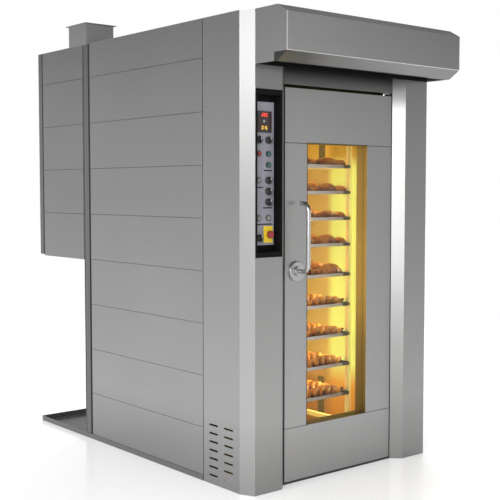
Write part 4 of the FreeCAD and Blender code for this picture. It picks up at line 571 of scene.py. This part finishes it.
def dress(thing: bpy.types.Object, material: bpy.types.Material) -> None:
    """Give a mesh one material."""
    thing.data.materials.clear()
    thing.data.materials.append(material)


def dress_nodes(names: Iterable[str], material: bpy.types.Material) -> None:
    """Give several CAD nodes one material."""
    for name in names:
        dress(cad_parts[name], material)


def settle(thing: bpy.types.Object) -> None:
    """Put an object's place, turn and size into its mesh."""
    clear_selection()
    thing.select_set(True)
    bpy.context.view_layer.objects.active = thing
    bpy.ops.object.transform_apply(location=True, rotation=True, scale=True)


def join(things: Sequence[bpy.types.Object], name: str) -> bpy.types.Object:
    """Join meshes into one object.

    Args:
        things: The meshes.
        name: The joined object's name.

    Returns:
        The joined object, its place in its mesh.
    """
    for thing in things:
        settle(thing)
    clear_selection()
    for thing in things:
        thing.select_set(True)
    bpy.context.view_layer.objects.active = things[0]
    if len(things) > 1:
        bpy.ops.object.join()
    joined = bpy.context.view_layer.objects.active
    joined.name = name
    return joined


def edit(thing: bpy.types.Object, work: Callable[[], None]) -> None:
    """Run edit-mode operators on one object with everything in it selected.

    Args:
        thing: The object.
        work: Calls the operators.
    """
    clear_selection()
    thing.select_set(True)
    bpy.context.view_layer.objects.active = thing
    bpy.ops.object.mode_set(mode="EDIT")
    bpy.ops.mesh.select_all(action="SELECT")
    work()
    bpy.ops.object.mode_set(mode="OBJECT")


def copy_mesh(thing: bpy.types.Object, place: Matrix) -> bpy.types.Object:
    """Copy an object with its own mesh, moved by a matrix.

    Args:
        thing: The object.
        place: The move.

    Returns:
        The copy.
    """
    copy = thing.copy()
    copy.data = thing.data.copy()
    copy.data.transform(place)
    bpy.context.collection.objects.link(copy)
    return copy


def soften(thing: bpy.types.Object, angle: float = 40.0) -> None:
    """Smooth shading, except over sharp edges.

    Args:
        thing: The object.
        angle: Sharpest smoothed angle, in degrees.
    """
    clear_selection()
    thing.select_set(True)
    bpy.context.view_layer.objects.active = thing
    bpy.ops.object.shade_smooth_by_angle(angle=math.radians(angle))


def centre_of(node: str) -> Vector:
    """Middle of a CAD node's box."""
    low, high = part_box(node)
    return (Vector(low) + Vector(high)) / 2


def report(piece: str) -> None:
    """Say that a piece is ready."""
    LOG.info("%s ready", piece)


# ------------------------------------------------------------------ sub-assemblies
@dataclass
class Cabinet:
    """Outer sheets of the main cabinet, the hood, the rear casing and the flue."""

    # Each face gets its own tone of one steel, the hood lightest and the header darkest: lit and shaded
    # copies, painted light and shade.
    side_tone: Colour = (0.335, 0.335, 0.332)
    casing_tone: Colour = (0.305, 0.305, 0.302)
    left_tone: Colour = (0.355, 0.355, 0.352)
    right_tone: Colour = (0.315, 0.315, 0.312)
    hood_tone: Colour = (0.40, 0.40, 0.396)
    header_tone: Colour = (0.21, 0.21, 0.208)
    # Lightest at 0.36 m, darker at the foot and above: painted reflection and painted shade.
    upwards: Tint = ((0.0, 0.70), (0.36, 1.0), (1.5, 0.76), (2.42, 0.76))
    # The hood's end darker and its front darker towards the right: painted light and shade.
    hood_across: Tint = ((-0.66, 0.75), (-0.633, 0.75), (-0.631, 1.0), (0.66, 0.68))
    # Near-black under the hood: painted shadow.
    hood_underside: tuple[Region, ...] = (((-0.632, 0.632), (-1.12, -0.90), (2.120, 2.20)),)
    # Bright lines along the hood's bends: painted highlights.
    hood_edges: tuple[Region, ...] = (
        ((-0.640, -0.6305), (-1.20, -1.1895), (2.178, 2.362)),
        ((0.6305, 0.640), (-1.20, -1.1895), (2.178, 2.362)),
        ((-0.640, 0.640), (-1.20, -1.1895), (2.1785, 2.1815)),
    )
    # The hood's lower slope darker towards its left end: painted reflection.
    hood_slope: Region = ((-0.66, 0.66), (-1.20, -1.10), (2.130, 2.1785))
    hood_slope_across: Tint = ((-0.64, 0.2), (-0.50, 0.3), (-0.32, 0.58), (0.0, 0.72), (0.64, 0.80))
    # Header darker towards the hood above it: painted shade.
    header_upwards: Tint = ((2.03, 1.0), (2.14, 0.15))
    # The right column's splay painted bright, fading at the foot and the top: painted reflection.
    splay: Region = ((0.395, 0.4588), (-0.9622, -0.85), (-0.01, 2.45))
    splay_upwards: Tint = (
        (0.0, 0.38),
        (0.415, 0.53),
        (0.696, 0.62),
        (0.836, 0.705),
        (0.977, 0.84),
        (1.117, 0.945),
        (1.257, 1.0),
        (1.96, 1.0),
        (2.03, 0.41),
        (2.10, 0.235),
    )

    def dress(self) -> None:
        """Give every outer sheet its steel."""
        # The tones, ramps and regions used here paint light, shade, highlights and reflections into the
        # steel.
        side = BrushedSheet("brushed_steel_side", self.side_tone, Axis.Y, upwards=self.upwards).paint()
        casing = BrushedSheet("brushed_steel_casing", self.casing_tone, Axis.Y, upwards=self.upwards).paint()
        left = BrushedSheet("brushed_steel_left", self.left_tone, Axis.Z, upwards=self.upwards).paint()
        right = BrushedSheet(
            "brushed_steel_right",
            self.right_tone,
            Axis.Z,
            upwards=self.upwards,
            painted_highlights=(self.splay,),
            highlight_gain=1.85,
            shaded=self.splay,
            shaded_axis=2,
            shaded_tint=self.splay_upwards,
        ).paint()
        hood = BrushedSheet(
            "brushed_steel_hood",
            self.hood_tone,
            Axis.X,
            across=self.hood_across,
            painted_highlights=self.hood_edges,
            shaded=self.hood_slope,
            shaded_tint=self.hood_slope_across,
            seals_and_painted_shadow=self.hood_underside,
        ).paint()
        header = BrushedSheet(
            "brushed_steel_header", self.header_tone, Axis.X, upwards=self.header_upwards
        ).paint()
        crosswise = BrushedSheet("brushed_steel_crosswise", self.side_tone, Axis.X).paint()
        posts = BrushedSheet("shaded_steel_posts", (0.15, 0.15, 0.15), Axis.Z, 0.34, 0.7).paint()
        black = Enamel("satin_black_paint", grey(0.018), 0.45, 500.0).paint()
        dress_nodes(("left_side_panels", "right_side_panels"), side)
        dress_nodes(("rear_casing_panels",), casing)
        dress_nodes(("left_front_column",), left)
        dress_nodes(("right_front_column",), right)
        dress_nodes(("hood",), hood)
        dress_nodes(("door_header",), header)
        dress_nodes(("roof_and_back_panels", "flue_casing"), crosswise)
        dress_nodes(("rear_posts",), posts)
        dress_nodes(("base_pan",), BrushedSheet("base_pan_steel", (0.17, 0.17, 0.17), Axis.Y, 0.34).paint())
        dress_nodes(("black_frame",), black)
        brass = BrushedSheet("turned_brass", (0.70, 0.52, 0.25), Axis.Y, 0.25, 1.0).paint()
        dress_nodes(("service_inlets",), brass)
        report("cabinet")


@dataclass
class Chamber:
    """Inside of the baking chamber, its lamps, the fan, the heater and the rotor's drive."""

    glow: Colour = (1.0, 0.80, 0.40)

    def dress(self) -> None:
        """Give the inner pieces their finishes."""
        # Warm yellowish steel: the lamps' light partly painted into its colour.
        walls = BrushedSheet("chamber_steel", (0.62, 0.52, 0.34), Axis.Z, 0.34, 0.7).paint()
        machined = BrushedSheet("machined_steel", grey(0.33), Axis.X, 0.3, 0.95).paint()
        iron = Enamel("rough_iron", (0.10, 0.09, 0.085), 0.75, 140.0, 0.5, 0.4).paint()
        housing = Enamel("machine_paint", (0.13, 0.16, 0.20), 0.45, 300.0).paint()
        dress_nodes(("air_duct_panels", "turntable", "heat_exchanger", "fan_impeller"), walls)
        dress_nodes(("chamber_liner",), LamplitChamberSteel("lamplit_chamber_steel").paint())
        dress_nodes(("drive_pinion", "drive_shaft"), machined)
        dress_nodes(("steam_generator",), iron)
        dress_nodes(("fan_motor", "rotor_drive_unit"), housing)
        # Wool painted nearly black so that joints and vents look dark: painted shade; real wool is paler.
        wool = Wool("mineral_wool", (0.030, 0.029, 0.024)).paint()
        dress_nodes(("wall_insulation", "door_insulation"), wool)
        dress_nodes(("chamber_lamps",), LampGlass("lit_lamp_glass", self.glow, 5.0).paint())
        report("chamber")

    def light(self) -> None:
        """Hang the lamps' light in the chamber."""
        for name, place, size, power in (
            ("glow_right", (0.47, -0.66, 1.0), (0.10, 1.7), 25.0),
            ("glow_left", (-0.47, -0.66, 1.0), (0.10, 1.7), 30.0),
        ):
            data = bpy.data.lights.new(name, "AREA")
            data.shape = "RECTANGLE"
            data.size, data.size_y = size
            data.energy = power
            data.color = self.glow
            lamp = bpy.data.objects.new(name, data)
            lamp.location = place
            aim = Vector((-place[0] * 0.9, 0.55, 0.0))
            lamp.rotation_euler = aim.to_track_quat("-Z", "Y").to_euler()
            bpy.context.collection.objects.link(lamp)


@dataclass
class Bread:
    """Rolls and crescents on the upper trays and plaited loaves below."""

    seed: int = 7
    crescent_lobes: int = 7
    plait_lobes: int = 6
    forward: float = 0.018
    roll_places: tuple[float, ...] = (-0.198, -0.016, 0.165)
    end_bun_place: float = 0.272
    crescent_places: tuple[float, ...] = (-0.205, -0.020, 0.190)
    loaf_places: tuple[float, ...] = (-0.145, 0.152)
    tray_depth: float = 0.770
    shelf: float = 0.0015
    parts: list[bpy.types.Object] = field(default_factory=list)

    def lobe(
        self, size: Sequence[float], place: Sequence[float], turn: float, tilt: float = 0.0
    ) -> bpy.types.Object:
        """One swelling of dough.

        Args:
            size: Half lengths along X, Y and Z.
            place: Its centre.
            turn: Turn about Z, in radians.
            tilt: How far its end on the side of +X is raised before that, in radians.

        Returns:
            The shaped ball.
        """
        bpy.ops.mesh.primitive_uv_sphere_add(segments=10, ring_count=7, radius=1.0, location=(0, 0, 0))
        ball = bpy.context.active_object

        def shape() -> None:
            """Stretch, turn and place the ball."""
            bpy.ops.transform.resize(value=tuple(size))
            bpy.ops.transform.rotate(value=tilt, orient_axis="Y", center_override=(0.0, 0.0, 0.0))
            bpy.ops.transform.rotate(value=-turn, orient_axis="Z", center_override=(0.0, 0.0, 0.0))
            bpy.ops.transform.translate(value=tuple(place))

        edit(ball, shape)
        return ball

    def flatten(self, loaf: bpy.types.Object) -> None:
        """Cut the loaf's foot flat and round its edges."""

        def cut() -> None:
            """Cut off what lies under the tray's level and close the cut."""
            bpy.ops.mesh.bisect(plane_co=(0, 0, 0), plane_no=(0, 0, 1), use_fill=True, clear_inner=True)

        edit(loaf, cut)
        soften(loaf, 55.0)

    def roll(self) -> bpy.types.Object:
        """A long smooth roll with two slanting cuts, their edges raised by the oven."""
        lobes = [
            self.lobe((0.062, 0.047, 0.034), (0.0, 0.0, 0.024), 0.0),
            self.lobe((0.042, 0.036, 0.027), (-0.050, 0.002, 0.020), 0.15),
            self.lobe((0.042, 0.038, 0.028), (0.050, -0.002, 0.020), -0.12),
        ]
        for x in (-0.026, 0.022):
            lobes.append(self.lobe((0.030, 0.006, 0.006), (x, -0.014, 0.049), 0.7, 0.1))
        return self.finish_loaf(lobes, "roll_form")

    def crescent(self) -> bpy.types.Object:
        """A wrapped crescent: rings of dough that swell towards its middle and bend round."""
        lobes = []
        for i in range(self.crescent_lobes):
            share = 2.0 * i / (self.crescent_lobes - 1) - 1.0
            girth = 0.046 * math.sqrt(1.0 - 0.66 * share * share)
            place = (share * 0.072, 0.016 * share * share - 0.006, girth * 0.62)
            lobes.append(self.lobe((0.020, girth, girth * 0.80), place, -0.35 * share, 0.28 * share))
        return self.finish_loaf(lobes, "crescent_form")

    def end_bun(self) -> bpy.types.Object:
        """A narrow bun that fills the end of a row."""
        lobes = [
            self.lobe((0.023, 0.044, 0.027), (0.0, -0.004, 0.020), 0.0),
            self.lobe((0.018, 0.030, 0.020), (0.0, 0.010, 0.028), 0.3),
        ]
        return self.finish_loaf(lobes, "end_bun_form")

    def plait(self) -> bpy.types.Object:
        """A plaited loaf: strands that lean left and right in turn over a long core."""
        lobes = [self.lobe((0.128, 0.034, 0.030), (0.0, 0.0, 0.020), 0.0)]
        for i in range(self.plait_lobes):
            share = 2.0 * i / (self.plait_lobes - 1) - 1.0
            swell = math.sqrt(1.0 - 0.62 * share * share)
            for side in (-1.0, 1.0):
                x = share * 0.106 + side * 0.010
                place = (x, side * 0.024 * swell, 0.033 * swell)
                lobes.append(self.lobe((0.040, 0.0165, 0.020 * swell), place, -side * 0.72, 0.36))
        return self.finish_loaf(lobes, "plait_form")

    def finish_loaf(self, lobes: Sequence[bpy.types.Object], name: str) -> bpy.types.Object:
        """Join the lobes under a name and flatten their common foot."""
        loaf = join(lobes, name)
        self.flatten(loaf)
        return loaf

    def lay(
        self,
        form: bpy.types.Object,
        places: Sequence[float],
        rows: int,
        level: float,
        rng: random.Random,
        scale: float = 1.0,
    ) -> None:
        """Spread copies over one tray, each turned a little.

        Args:
            form: The loaf that is copied.
            places: X of each loaf in a row.
            rows: How many rows.
            level: Height of the tray's upper face.
            rng: Seeded random numbers.
            scale: Size over the form's own.
        """
        middle = centre_of("baking_trays").y - self.forward
        for place_x in places:
            for j in range(rows):
                x = place_x + rng.uniform(-0.003, 0.003)
                y = middle + (j - (rows - 1) / 2) * self.tray_depth / rows + rng.uniform(-0.004, 0.004)
                size = rng.uniform(0.96, 1.03) * scale
                turn = Euler((0, 0, rng.uniform(-0.10, 0.10)))
                place = Matrix.Translation((x, y, level)) @ turn.to_matrix().to_4x4() @ Matrix.Scale(size, 4)
                self.parts.append(copy_mesh(form, place))

    def build(self, levels: Sequence[float]) -> None:
        """Bake every tray's load.

        Args:
            levels: Heights of the trays' undersides, from the top down.
        """
        rng = random.Random(self.seed)
        forms = roll, crescent, end_bun, plait = self.roll(), self.crescent(), self.end_bun(), self.plait()
        for i, level in enumerate(levels):
            floor = level + self.shelf
            if i < 4:
                self.lay(crescent if i % 2 else roll, self.roll_places, 6, floor, rng)
                self.lay(end_bun, (self.end_bun_place,), 6, floor, rng)
            elif i == 4:
                self.lay(crescent, self.crescent_places, 6, floor, rng, 1.15)
            else:
                self.lay(plait, self.loaf_places, 6, floor, rng)
        for form in forms:
            bpy.data.objects.remove(form)
        load = join(self.parts, "baked_bread")
        dress(load, Crust("baked_crust").paint())
        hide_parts("bread_load")
        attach(load, "rotor")
        report("bread")


@dataclass
class Rack:
    """Trolley, trays and castors."""

    top_tray: float = 1.648
    upper: tuple[int, float] = (4, 0.147)
    lower: tuple[int, float] = (5, 0.172)
    # Tray ends darker: painted shadow.
    tray_ends: Tint = (
        (-0.30, 0.12),
        (-0.262, 0.2),
        (-0.245, 1.0),
        (0.10, 1.0),
        (0.235, 0.75),
        (0.250, 0.2),
        (0.30, 0.12),
    )

    def levels(self) -> list[float]:
        """Heights of the trays' undersides, from the top down."""
        heights = [self.top_tray - self.upper[1] * i for i in range(self.upper[0])]
        heights += [heights[-1] - self.lower[1] * (i + 1) for i in range(self.lower[0])]
        return heights

    def dress(self) -> None:
        """Give the rack its finishes."""
        # Pale yellow tubes: the lamps' light painted in, a painted reflection.
        tube = BrushedSheet("rack_tube_steel", (0.95, 0.88, 0.45), Axis.Z, 0.26, 0.3).paint()
        dress_nodes(("rack_frame",), tube)
        tray = BrushedSheet("tray_aluminium", (0.92, 0.88, 0.86), Axis.X, 0.4, 0.35, across=self.tray_ends)
        dress_nodes(("baking_trays",), tray.paint())
        forks = BrushedSheet("castor_fork_steel", grey(0.35), Axis.Z, 0.3, 0.95).paint()
        tyre = Enamel("heat_proof_tyre", (0.035, 0.033, 0.032), 0.7, 200.0, 0.2).paint()
        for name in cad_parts:
            if name.startswith("castor_fork"):
                dress_nodes((name,), forks)
            if name.startswith("castor_wheel"):
                dress_nodes((name,), tyre)
        report("rack")


@dataclass
class Door:
    """Door leaf, window, gasket and handle."""

    # Door tone, darker at the foot and the top and darker towards the right: painted light and shade.
    tone: Colour = (0.375, 0.375, 0.372)
    upwards: Tint = ((0.02, 0.82), (0.30, 1.0), (1.5, 0.88), (2.03, 0.92))
    window_seals: tuple[Region, ...] = (
        ((-0.2435, -0.238), (-0.92, -0.90), (0.287, 1.768)),
        ((-0.2435, 0.2075), (-0.92, -0.90), (1.7625, 1.768)),
    )
    across: Tint = ((-0.40, 1.0), (0.40, 0.86))
    # Amber lining, brightest at mid height by the lamps: the lamps' light painted on the window's reveal.
    lining_tone: Colour = (0.30, 0.215, 0.068)
    lining_upwards: Tint = (
        (0.25, 0.30),
        (0.69, 0.50),
        (0.95, 0.88),
        (1.20, 0.92),
        (1.45, 0.80),
        (1.80, 0.72),
    )
    # Lining beyond the reveal painted near-black: painted shade.
    lining_returns: tuple[Region, ...] = (
        ((-0.60, -0.27), (-0.95, -0.85), (0.0, 2.2)),
        ((0.235, 0.60), (-0.95, -0.85), (0.0, 2.2)),
        ((-0.60, 0.60), (-0.95, -0.85), (1.7695, 2.2)),
        ((-0.60, 0.60), (-0.95, -0.85), (0.0, 0.285)),
    )
    lining_inwards: Tint = (
        (-0.912, 1.0),
        (-0.891, 1.0),
        (-0.889, 0.55),
        (-0.884, 0.55),
        (-0.882, 0.9),
        (-0.84, 1.0),
    )

    def dress(self) -> None:
        """Give the door its finishes."""
        leaf = BrushedSheet(
            "door_steel", self.tone, Axis.Z, upwards=self.upwards, across=self.across, seals_and_painted_shadow=self.window_seals
        )
        dress_nodes(("door_skin",), leaf.paint())
        lining = BrushedSheet(
            "door_lining_steel",
            self.lining_tone,
            Axis.Z,
            0.42,
            0.6,
            upwards=self.lining_upwards,
            inwards=self.lining_inwards,
            seals_and_painted_shadow=self.lining_returns,
        )
        dress_nodes(("door_frame",), lining.paint())
        dress_nodes(("window_glass",), Pane("window_pane").paint())
        dress_nodes(("door_gasket",), Enamel("silicone_gasket", grey(0.04), 0.6, 300.0).paint())
        polished = BrushedSheet("polished_steel", grey(0.45), Axis.Z, 0.24, 1.0, 0.02).paint()
        dress_nodes(("handle_lever", "door_pivots"), polished)
        satin = BrushedSheet("satin_steel", grey(0.42), Axis.Z, 0.34, 0.9, 0.03).paint()
        dress_nodes(("handle_rosette",), satin)
        dress_nodes(("latch_cam",), BrushedSheet("latch_steel", grey(0.4), Axis.X, 0.3, 0.95).paint())
        report("door")


@dataclass
class Controls:
    """Control recess with its plate, display, knobs, buttons and lamps."""

    pointer_length: float = 0.012
    pointer_width: float = 0.0026
    digit_height: float = 0.015
    knobs: tuple[str, ...] = (
        "knob_upper_left",
        "knob_upper_right",
        "knob_steam",
        "knob_fan",
        "knob_light",
        "knob_main_switch",
    )
    bars: tuple[tuple[float, float, float, float], ...] = (
        (-0.542, -0.488, 1.6175, 1.6245),
        (-0.588, -0.547, 1.5335, 1.5405),
        (-0.547, -0.489, 1.4315, 1.4385),
        (-0.586, -0.487, 1.3495, 1.3565),
        (-0.551, -0.549, 1.262, 1.344),
    )

    def dress(self) -> None:
        """Give the CAD pieces their finishes."""
        bezel = Enamel("black_bezel", grey(0.004), 0.6, 700.0, sheen=0.12).paint()
        plate = LegendPlate("control_plate_enamel", (0.27, 0.265, 0.305), grey(0.012), self.bars)
        housing = Enamel("display_housing", (0.030, 0.012, 0.012), 0.18, 900.0).paint()
        dress_nodes(("control_box",), bezel)
        dress_nodes(("control_plate",), plate.paint())
        dress_nodes(("display_module",), housing)
        dress_nodes(("control_bezels",), BrushedSheet("ring_steel", grey(0.14), Axis.Y, 0.25, 1.0).paint())
        dress_nodes(("pilot_lamps",), Enamel("lamp_lens_white", (0.22, 0.22, 0.20), 0.2, 300.0).paint())
        dress_nodes(("emergency_plate",), Enamel("yellow_plate", (0.85, 0.62, 0.03), 0.4, 500.0).paint())
        red = Enamel("red_plastic", (0.26, 0.018, 0.02), 0.25, 500.0).paint()
        green = Enamel("green_plastic", (0.025, 0.10, 0.075), 0.25, 500.0).paint()
        dress_nodes(("emergency_button", "button_red"), red)
        dress_nodes(("button_green_upper", "button_green_lower"), green)
        dress_nodes(self.knobs, Enamel("knob_black", grey(0.02), 0.35, 800.0).paint())
        dress_nodes(("set_button",), Enamel("set_button_grey", grey(0.25), 0.35, 800.0).paint())
        report("controls")

    def pointers(self) -> None:
        """White pointer let into the grip of every knob."""
        white = Enamel("pointer_white", grey(0.85), 0.4, 900.0).paint()
        for name in self.knobs:
            low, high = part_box(name)
            x, z = (low[0] + high[0]) / 2, (low[2] + high[2]) / 2
            bpy.ops.mesh.primitive_cube_add(size=1.0, location=(0, 0, 0))
            mark = bpy.context.active_object
            mark.name = name + "_pointer"

            def shape() -> None:
                """Size, place and bevel the mark."""
                bpy.ops.transform.resize(value=(self.pointer_width, 0.0008, self.pointer_length))
                bpy.ops.transform.translate(value=(x, low[1] + 0.0002, z + 0.0075))
                bpy.ops.mesh.bevel(offset=0.0003, segments=2)

            edit(mark, shape)
            soften(mark)
            dress(mark, white)
            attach(mark, name + "_body")

    def segment_bar(self, x: float, z: float, wide: bool) -> bpy.types.Object:
        """One bar of a seven-part digit.

        Args:
            x: X of its middle.
            z: Z of its middle.
            wide: Whether it lies flat.

        Returns:
            The bar.
        """
        low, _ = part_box("display_module")
        bpy.ops.mesh.primitive_cube_add(size=1.0, location=(0, 0, 0))
        bar = bpy.context.active_object
        length, thick = self.digit_height * 0.42, self.digit_height * 0.13

        def shape() -> None:
            """Size, place and bevel the bar."""
            size = (length, 0.0006, thick) if wide else (thick, 0.0006, length)
            bpy.ops.transform.resize(value=size)
            bpy.ops.transform.translate(value=(x, low[1] + 0.0009, z))
            bpy.ops.mesh.bevel(offset=0.0002, segments=1)

        edit(bar, shape)
        return bar

    def digits(self, text: str, centre: tuple[float, float], material: bpy.types.Material, name: str) -> None:
        """Lit number on the display.

        Args:
            text: The figures.
            centre: X and Z of the row's middle.
            material: The lit finish.
            name: The piece's name.
        """
        lit = {"0": "abcdef", "1": "bc", "2": "abged", "5": "afgcd"}
        h = self.digit_height
        spots = {
            "a": (0.0, h / 2, True),
            "g": (0.0, 0.0, True),
            "d": (0.0, -h / 2, True),
            "f": (-h * 0.25, h / 4, False),
            "b": (h * 0.25, h / 4, False),
            "e": (-h * 0.25, -h / 4, False),
            "c": (h * 0.25, -h / 4, False),
        }
        bars = []
        for i, figure in enumerate(text):
            middle = centre[0] + (i - (len(text) - 1) / 2) * h * 0.85
            for letter in lit[figure]:
                dx, dz, wide = spots[letter]
                bars.append(self.segment_bar(middle + dx, centre[1] + dz, wide))
        row = join(bars, name)
        dress(row, material)
        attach(row, "cabinet")

    def build(self) -> None:
        """Add the pointers and the lit figures."""
        self.pointers()
        red = LampGlass("lit_red_figures", (1.0, 0.06, 0.02), 2.0).paint()
        self.digits("220", (-0.5415, 1.896), red, "figures_upper")
        amber = LampGlass("lit_amber_figures", (1.0, 0.62, 0.05), 1.6).paint()
        self.digits("015", (-0.5415, 1.8325), amber, "figures_lower")
        report("control details")


# ------------------------------------------------------------------ studio
@dataclass
class Studio:
    """Floor, soft lamps, pale surroundings and the camera."""

    camera_place: tuple[float, float, float] = (-3.72389, -4.64778, 1.5235)
    camera_yaw: float = 39.66
    camera_pitch: float = 3.49
    lens: float = 70.70
    ambient: float = 0.60
    ceiling_height: float = 4.2
    ceiling_level: float = 0.10
    floor_lift: float = 0.25

    def camera(self) -> None:
        """Stand the camera where the picture was taken."""
        data = bpy.data.cameras.new("view")
        data.lens = self.lens
        data.sensor_width = 36.0
        data.clip_end = 200.0
        camera = bpy.data.objects.new("view", data)
        camera.location = self.camera_place
        tilt, turn = math.radians(90.0 - self.camera_pitch), -math.radians(self.camera_yaw)
        camera.rotation_euler = Euler((tilt, 0.0, turn))
        bpy.context.collection.objects.link(camera)
        bpy.context.scene.camera = camera

    def floor(self) -> None:
        """Lay a pale, slightly glossy floor."""
        bpy.ops.mesh.primitive_plane_add(size=60.0, location=(0, 0, -0.001))
        floor = bpy.context.active_object
        floor.name = "studio_floor"
        sheet = Sheet("pale_floor")
        cloud = sheet.noise((1.0, 1.0, 1.0), 0.7, 2.0)
        shine = {"Roughness": (cloud * 0.04 + 0.14).clamped(), "Emission Strength": self.floor_lift}
        white = (1.0, 1.0, 1.0, 1.0)
        dress(floor, sheet.finish({"Base Color": (0.93, 0.93, 0.93, 1.0), "Emission Color": white, **shine}))

    def surroundings(self) -> None:
        """White all round as the camera, metal and glass see it, softer as a light."""
        world = bpy.data.worlds.new("surroundings")
        bpy.context.scene.world = world
        world.use_nodes = True
        tree = world.node_tree
        tree.nodes.clear()
        seen = tree.nodes.new("ShaderNodeBackground")
        seen.inputs["Strength"].default_value = 1.0
        soft = tree.nodes.new("ShaderNodeBackground")
        soft.inputs["Strength"].default_value = self.ambient
        for shader in (seen, soft):
            shader.inputs["Color"].default_value = (1.0, 1.0, 1.0, 1.0)
        path = tree.nodes.new("ShaderNodeLightPath")
        first = tree.nodes.new("ShaderNodeMath")
        second = tree.nodes.new("ShaderNodeMath")
        for step in (first, second):
            step.operation = "MAXIMUM"
        tree.links.new(path.outputs["Is Camera Ray"], first.inputs[0])
        tree.links.new(path.outputs["Is Glossy Ray"], first.inputs[1])
        tree.links.new(first.outputs[0], second.inputs[0])
        tree.links.new(path.outputs["Is Transmission Ray"], second.inputs[1])
        mix = tree.nodes.new("ShaderNodeMixShader")
        tree.links.new(second.outputs[0], mix.inputs[0])
        tree.links.new(soft.outputs[0], mix.inputs[1])
        tree.links.new(seen.outputs[0], mix.inputs[2])
        out = tree.nodes.new("ShaderNodeOutputWorld")
        tree.links.new(mix.outputs[0], out.inputs[0])

    def lamp(
        self, name: str, place: Sequence[float], target: Sequence[float], size: float, power: float
    ) -> None:
        """One large soft lamp aimed at a point.

        Args:
            name: The lamp's name.
            place: Where it hangs.
            target: What it points at.
            size: Side of its square, in metres.
            power: Its power, in watts.
        """
        data = bpy.data.lights.new(name, "AREA")
        data.size = size
        data.energy = power
        lamp = bpy.data.objects.new(name, data)
        lamp.location = place
        lamp.rotation_euler = (Vector(target) - Vector(place)).to_track_quat("-Z", "Y").to_euler()
        bpy.context.collection.objects.link(lamp)

    def ceiling(self) -> None:
        """Dim ceiling that only the steel's reflections see."""
        bpy.ops.mesh.primitive_plane_add(size=26.0, location=(0, 0, self.ceiling_height))
        ceiling = bpy.context.active_object
        ceiling.name = "dim_ceiling"
        sheet = Sheet("dim_ceiling")
        cloud = sheet.noise((1.0, 1.0, 1.0), 0.4, 1.0)
        level = grey(self.ceiling_level)
        dim = sheet.ramp(cloud, [(0.3, shade(level, 0.9)), (0.7, shade(level, 1.1))])
        black = {"Base Color": (0.0, 0.0, 0.0, 1.0), "Roughness": 1.0}
        dress(ceiling, sheet.finish({**black, "Emission Color": dim, "Emission Strength": 1.0}))
        ceiling.visible_camera = False
        ceiling.visible_diffuse = False
        ceiling.visible_transmission = False
        ceiling.visible_shadow = False

    def build(self) -> None:
        """Set up everything round the oven."""
        bpy.context.scene.view_settings.view_transform = "Standard"
        self.camera()
        self.floor()
        self.surroundings()
        self.ceiling()
        self.lamp("front_lamp", (-5.4, -5.6, 3.2), (0.4, -0.9, 1.6), 2.6, 170.0)
        self.lamp("splay_lamp", (-6.3, -3.9, 2.4), (0.5, -0.9, 1.6), 2.2, 130.0)
        self.lamp("left_lamp", (-7.5, -1.0, 3.6), (-0.7, -0.9, 1.6), 2.4, 150.0)
        self.lamp("back_lamp", (4.2, 2.6, 3.9), (0.0, -0.9, 2.4), 2.6, 170.0)
        report("studio")


def main() -> None:
    """Build the whole oven's looks in order."""
    logging.basicConfig(level=logging.INFO)
    studio = Studio()
    studio.build()
    rack = Rack()
    rack.dress()
    cabinet = Cabinet()
    cabinet.dress()
    chamber = Chamber()
    chamber.dress()
    chamber.light()
    Door().dress()
    controls = Controls()
    controls.dress()
    controls.build()
    Bread().build(rack.levels())


if __name__ == "__main__":
    main()
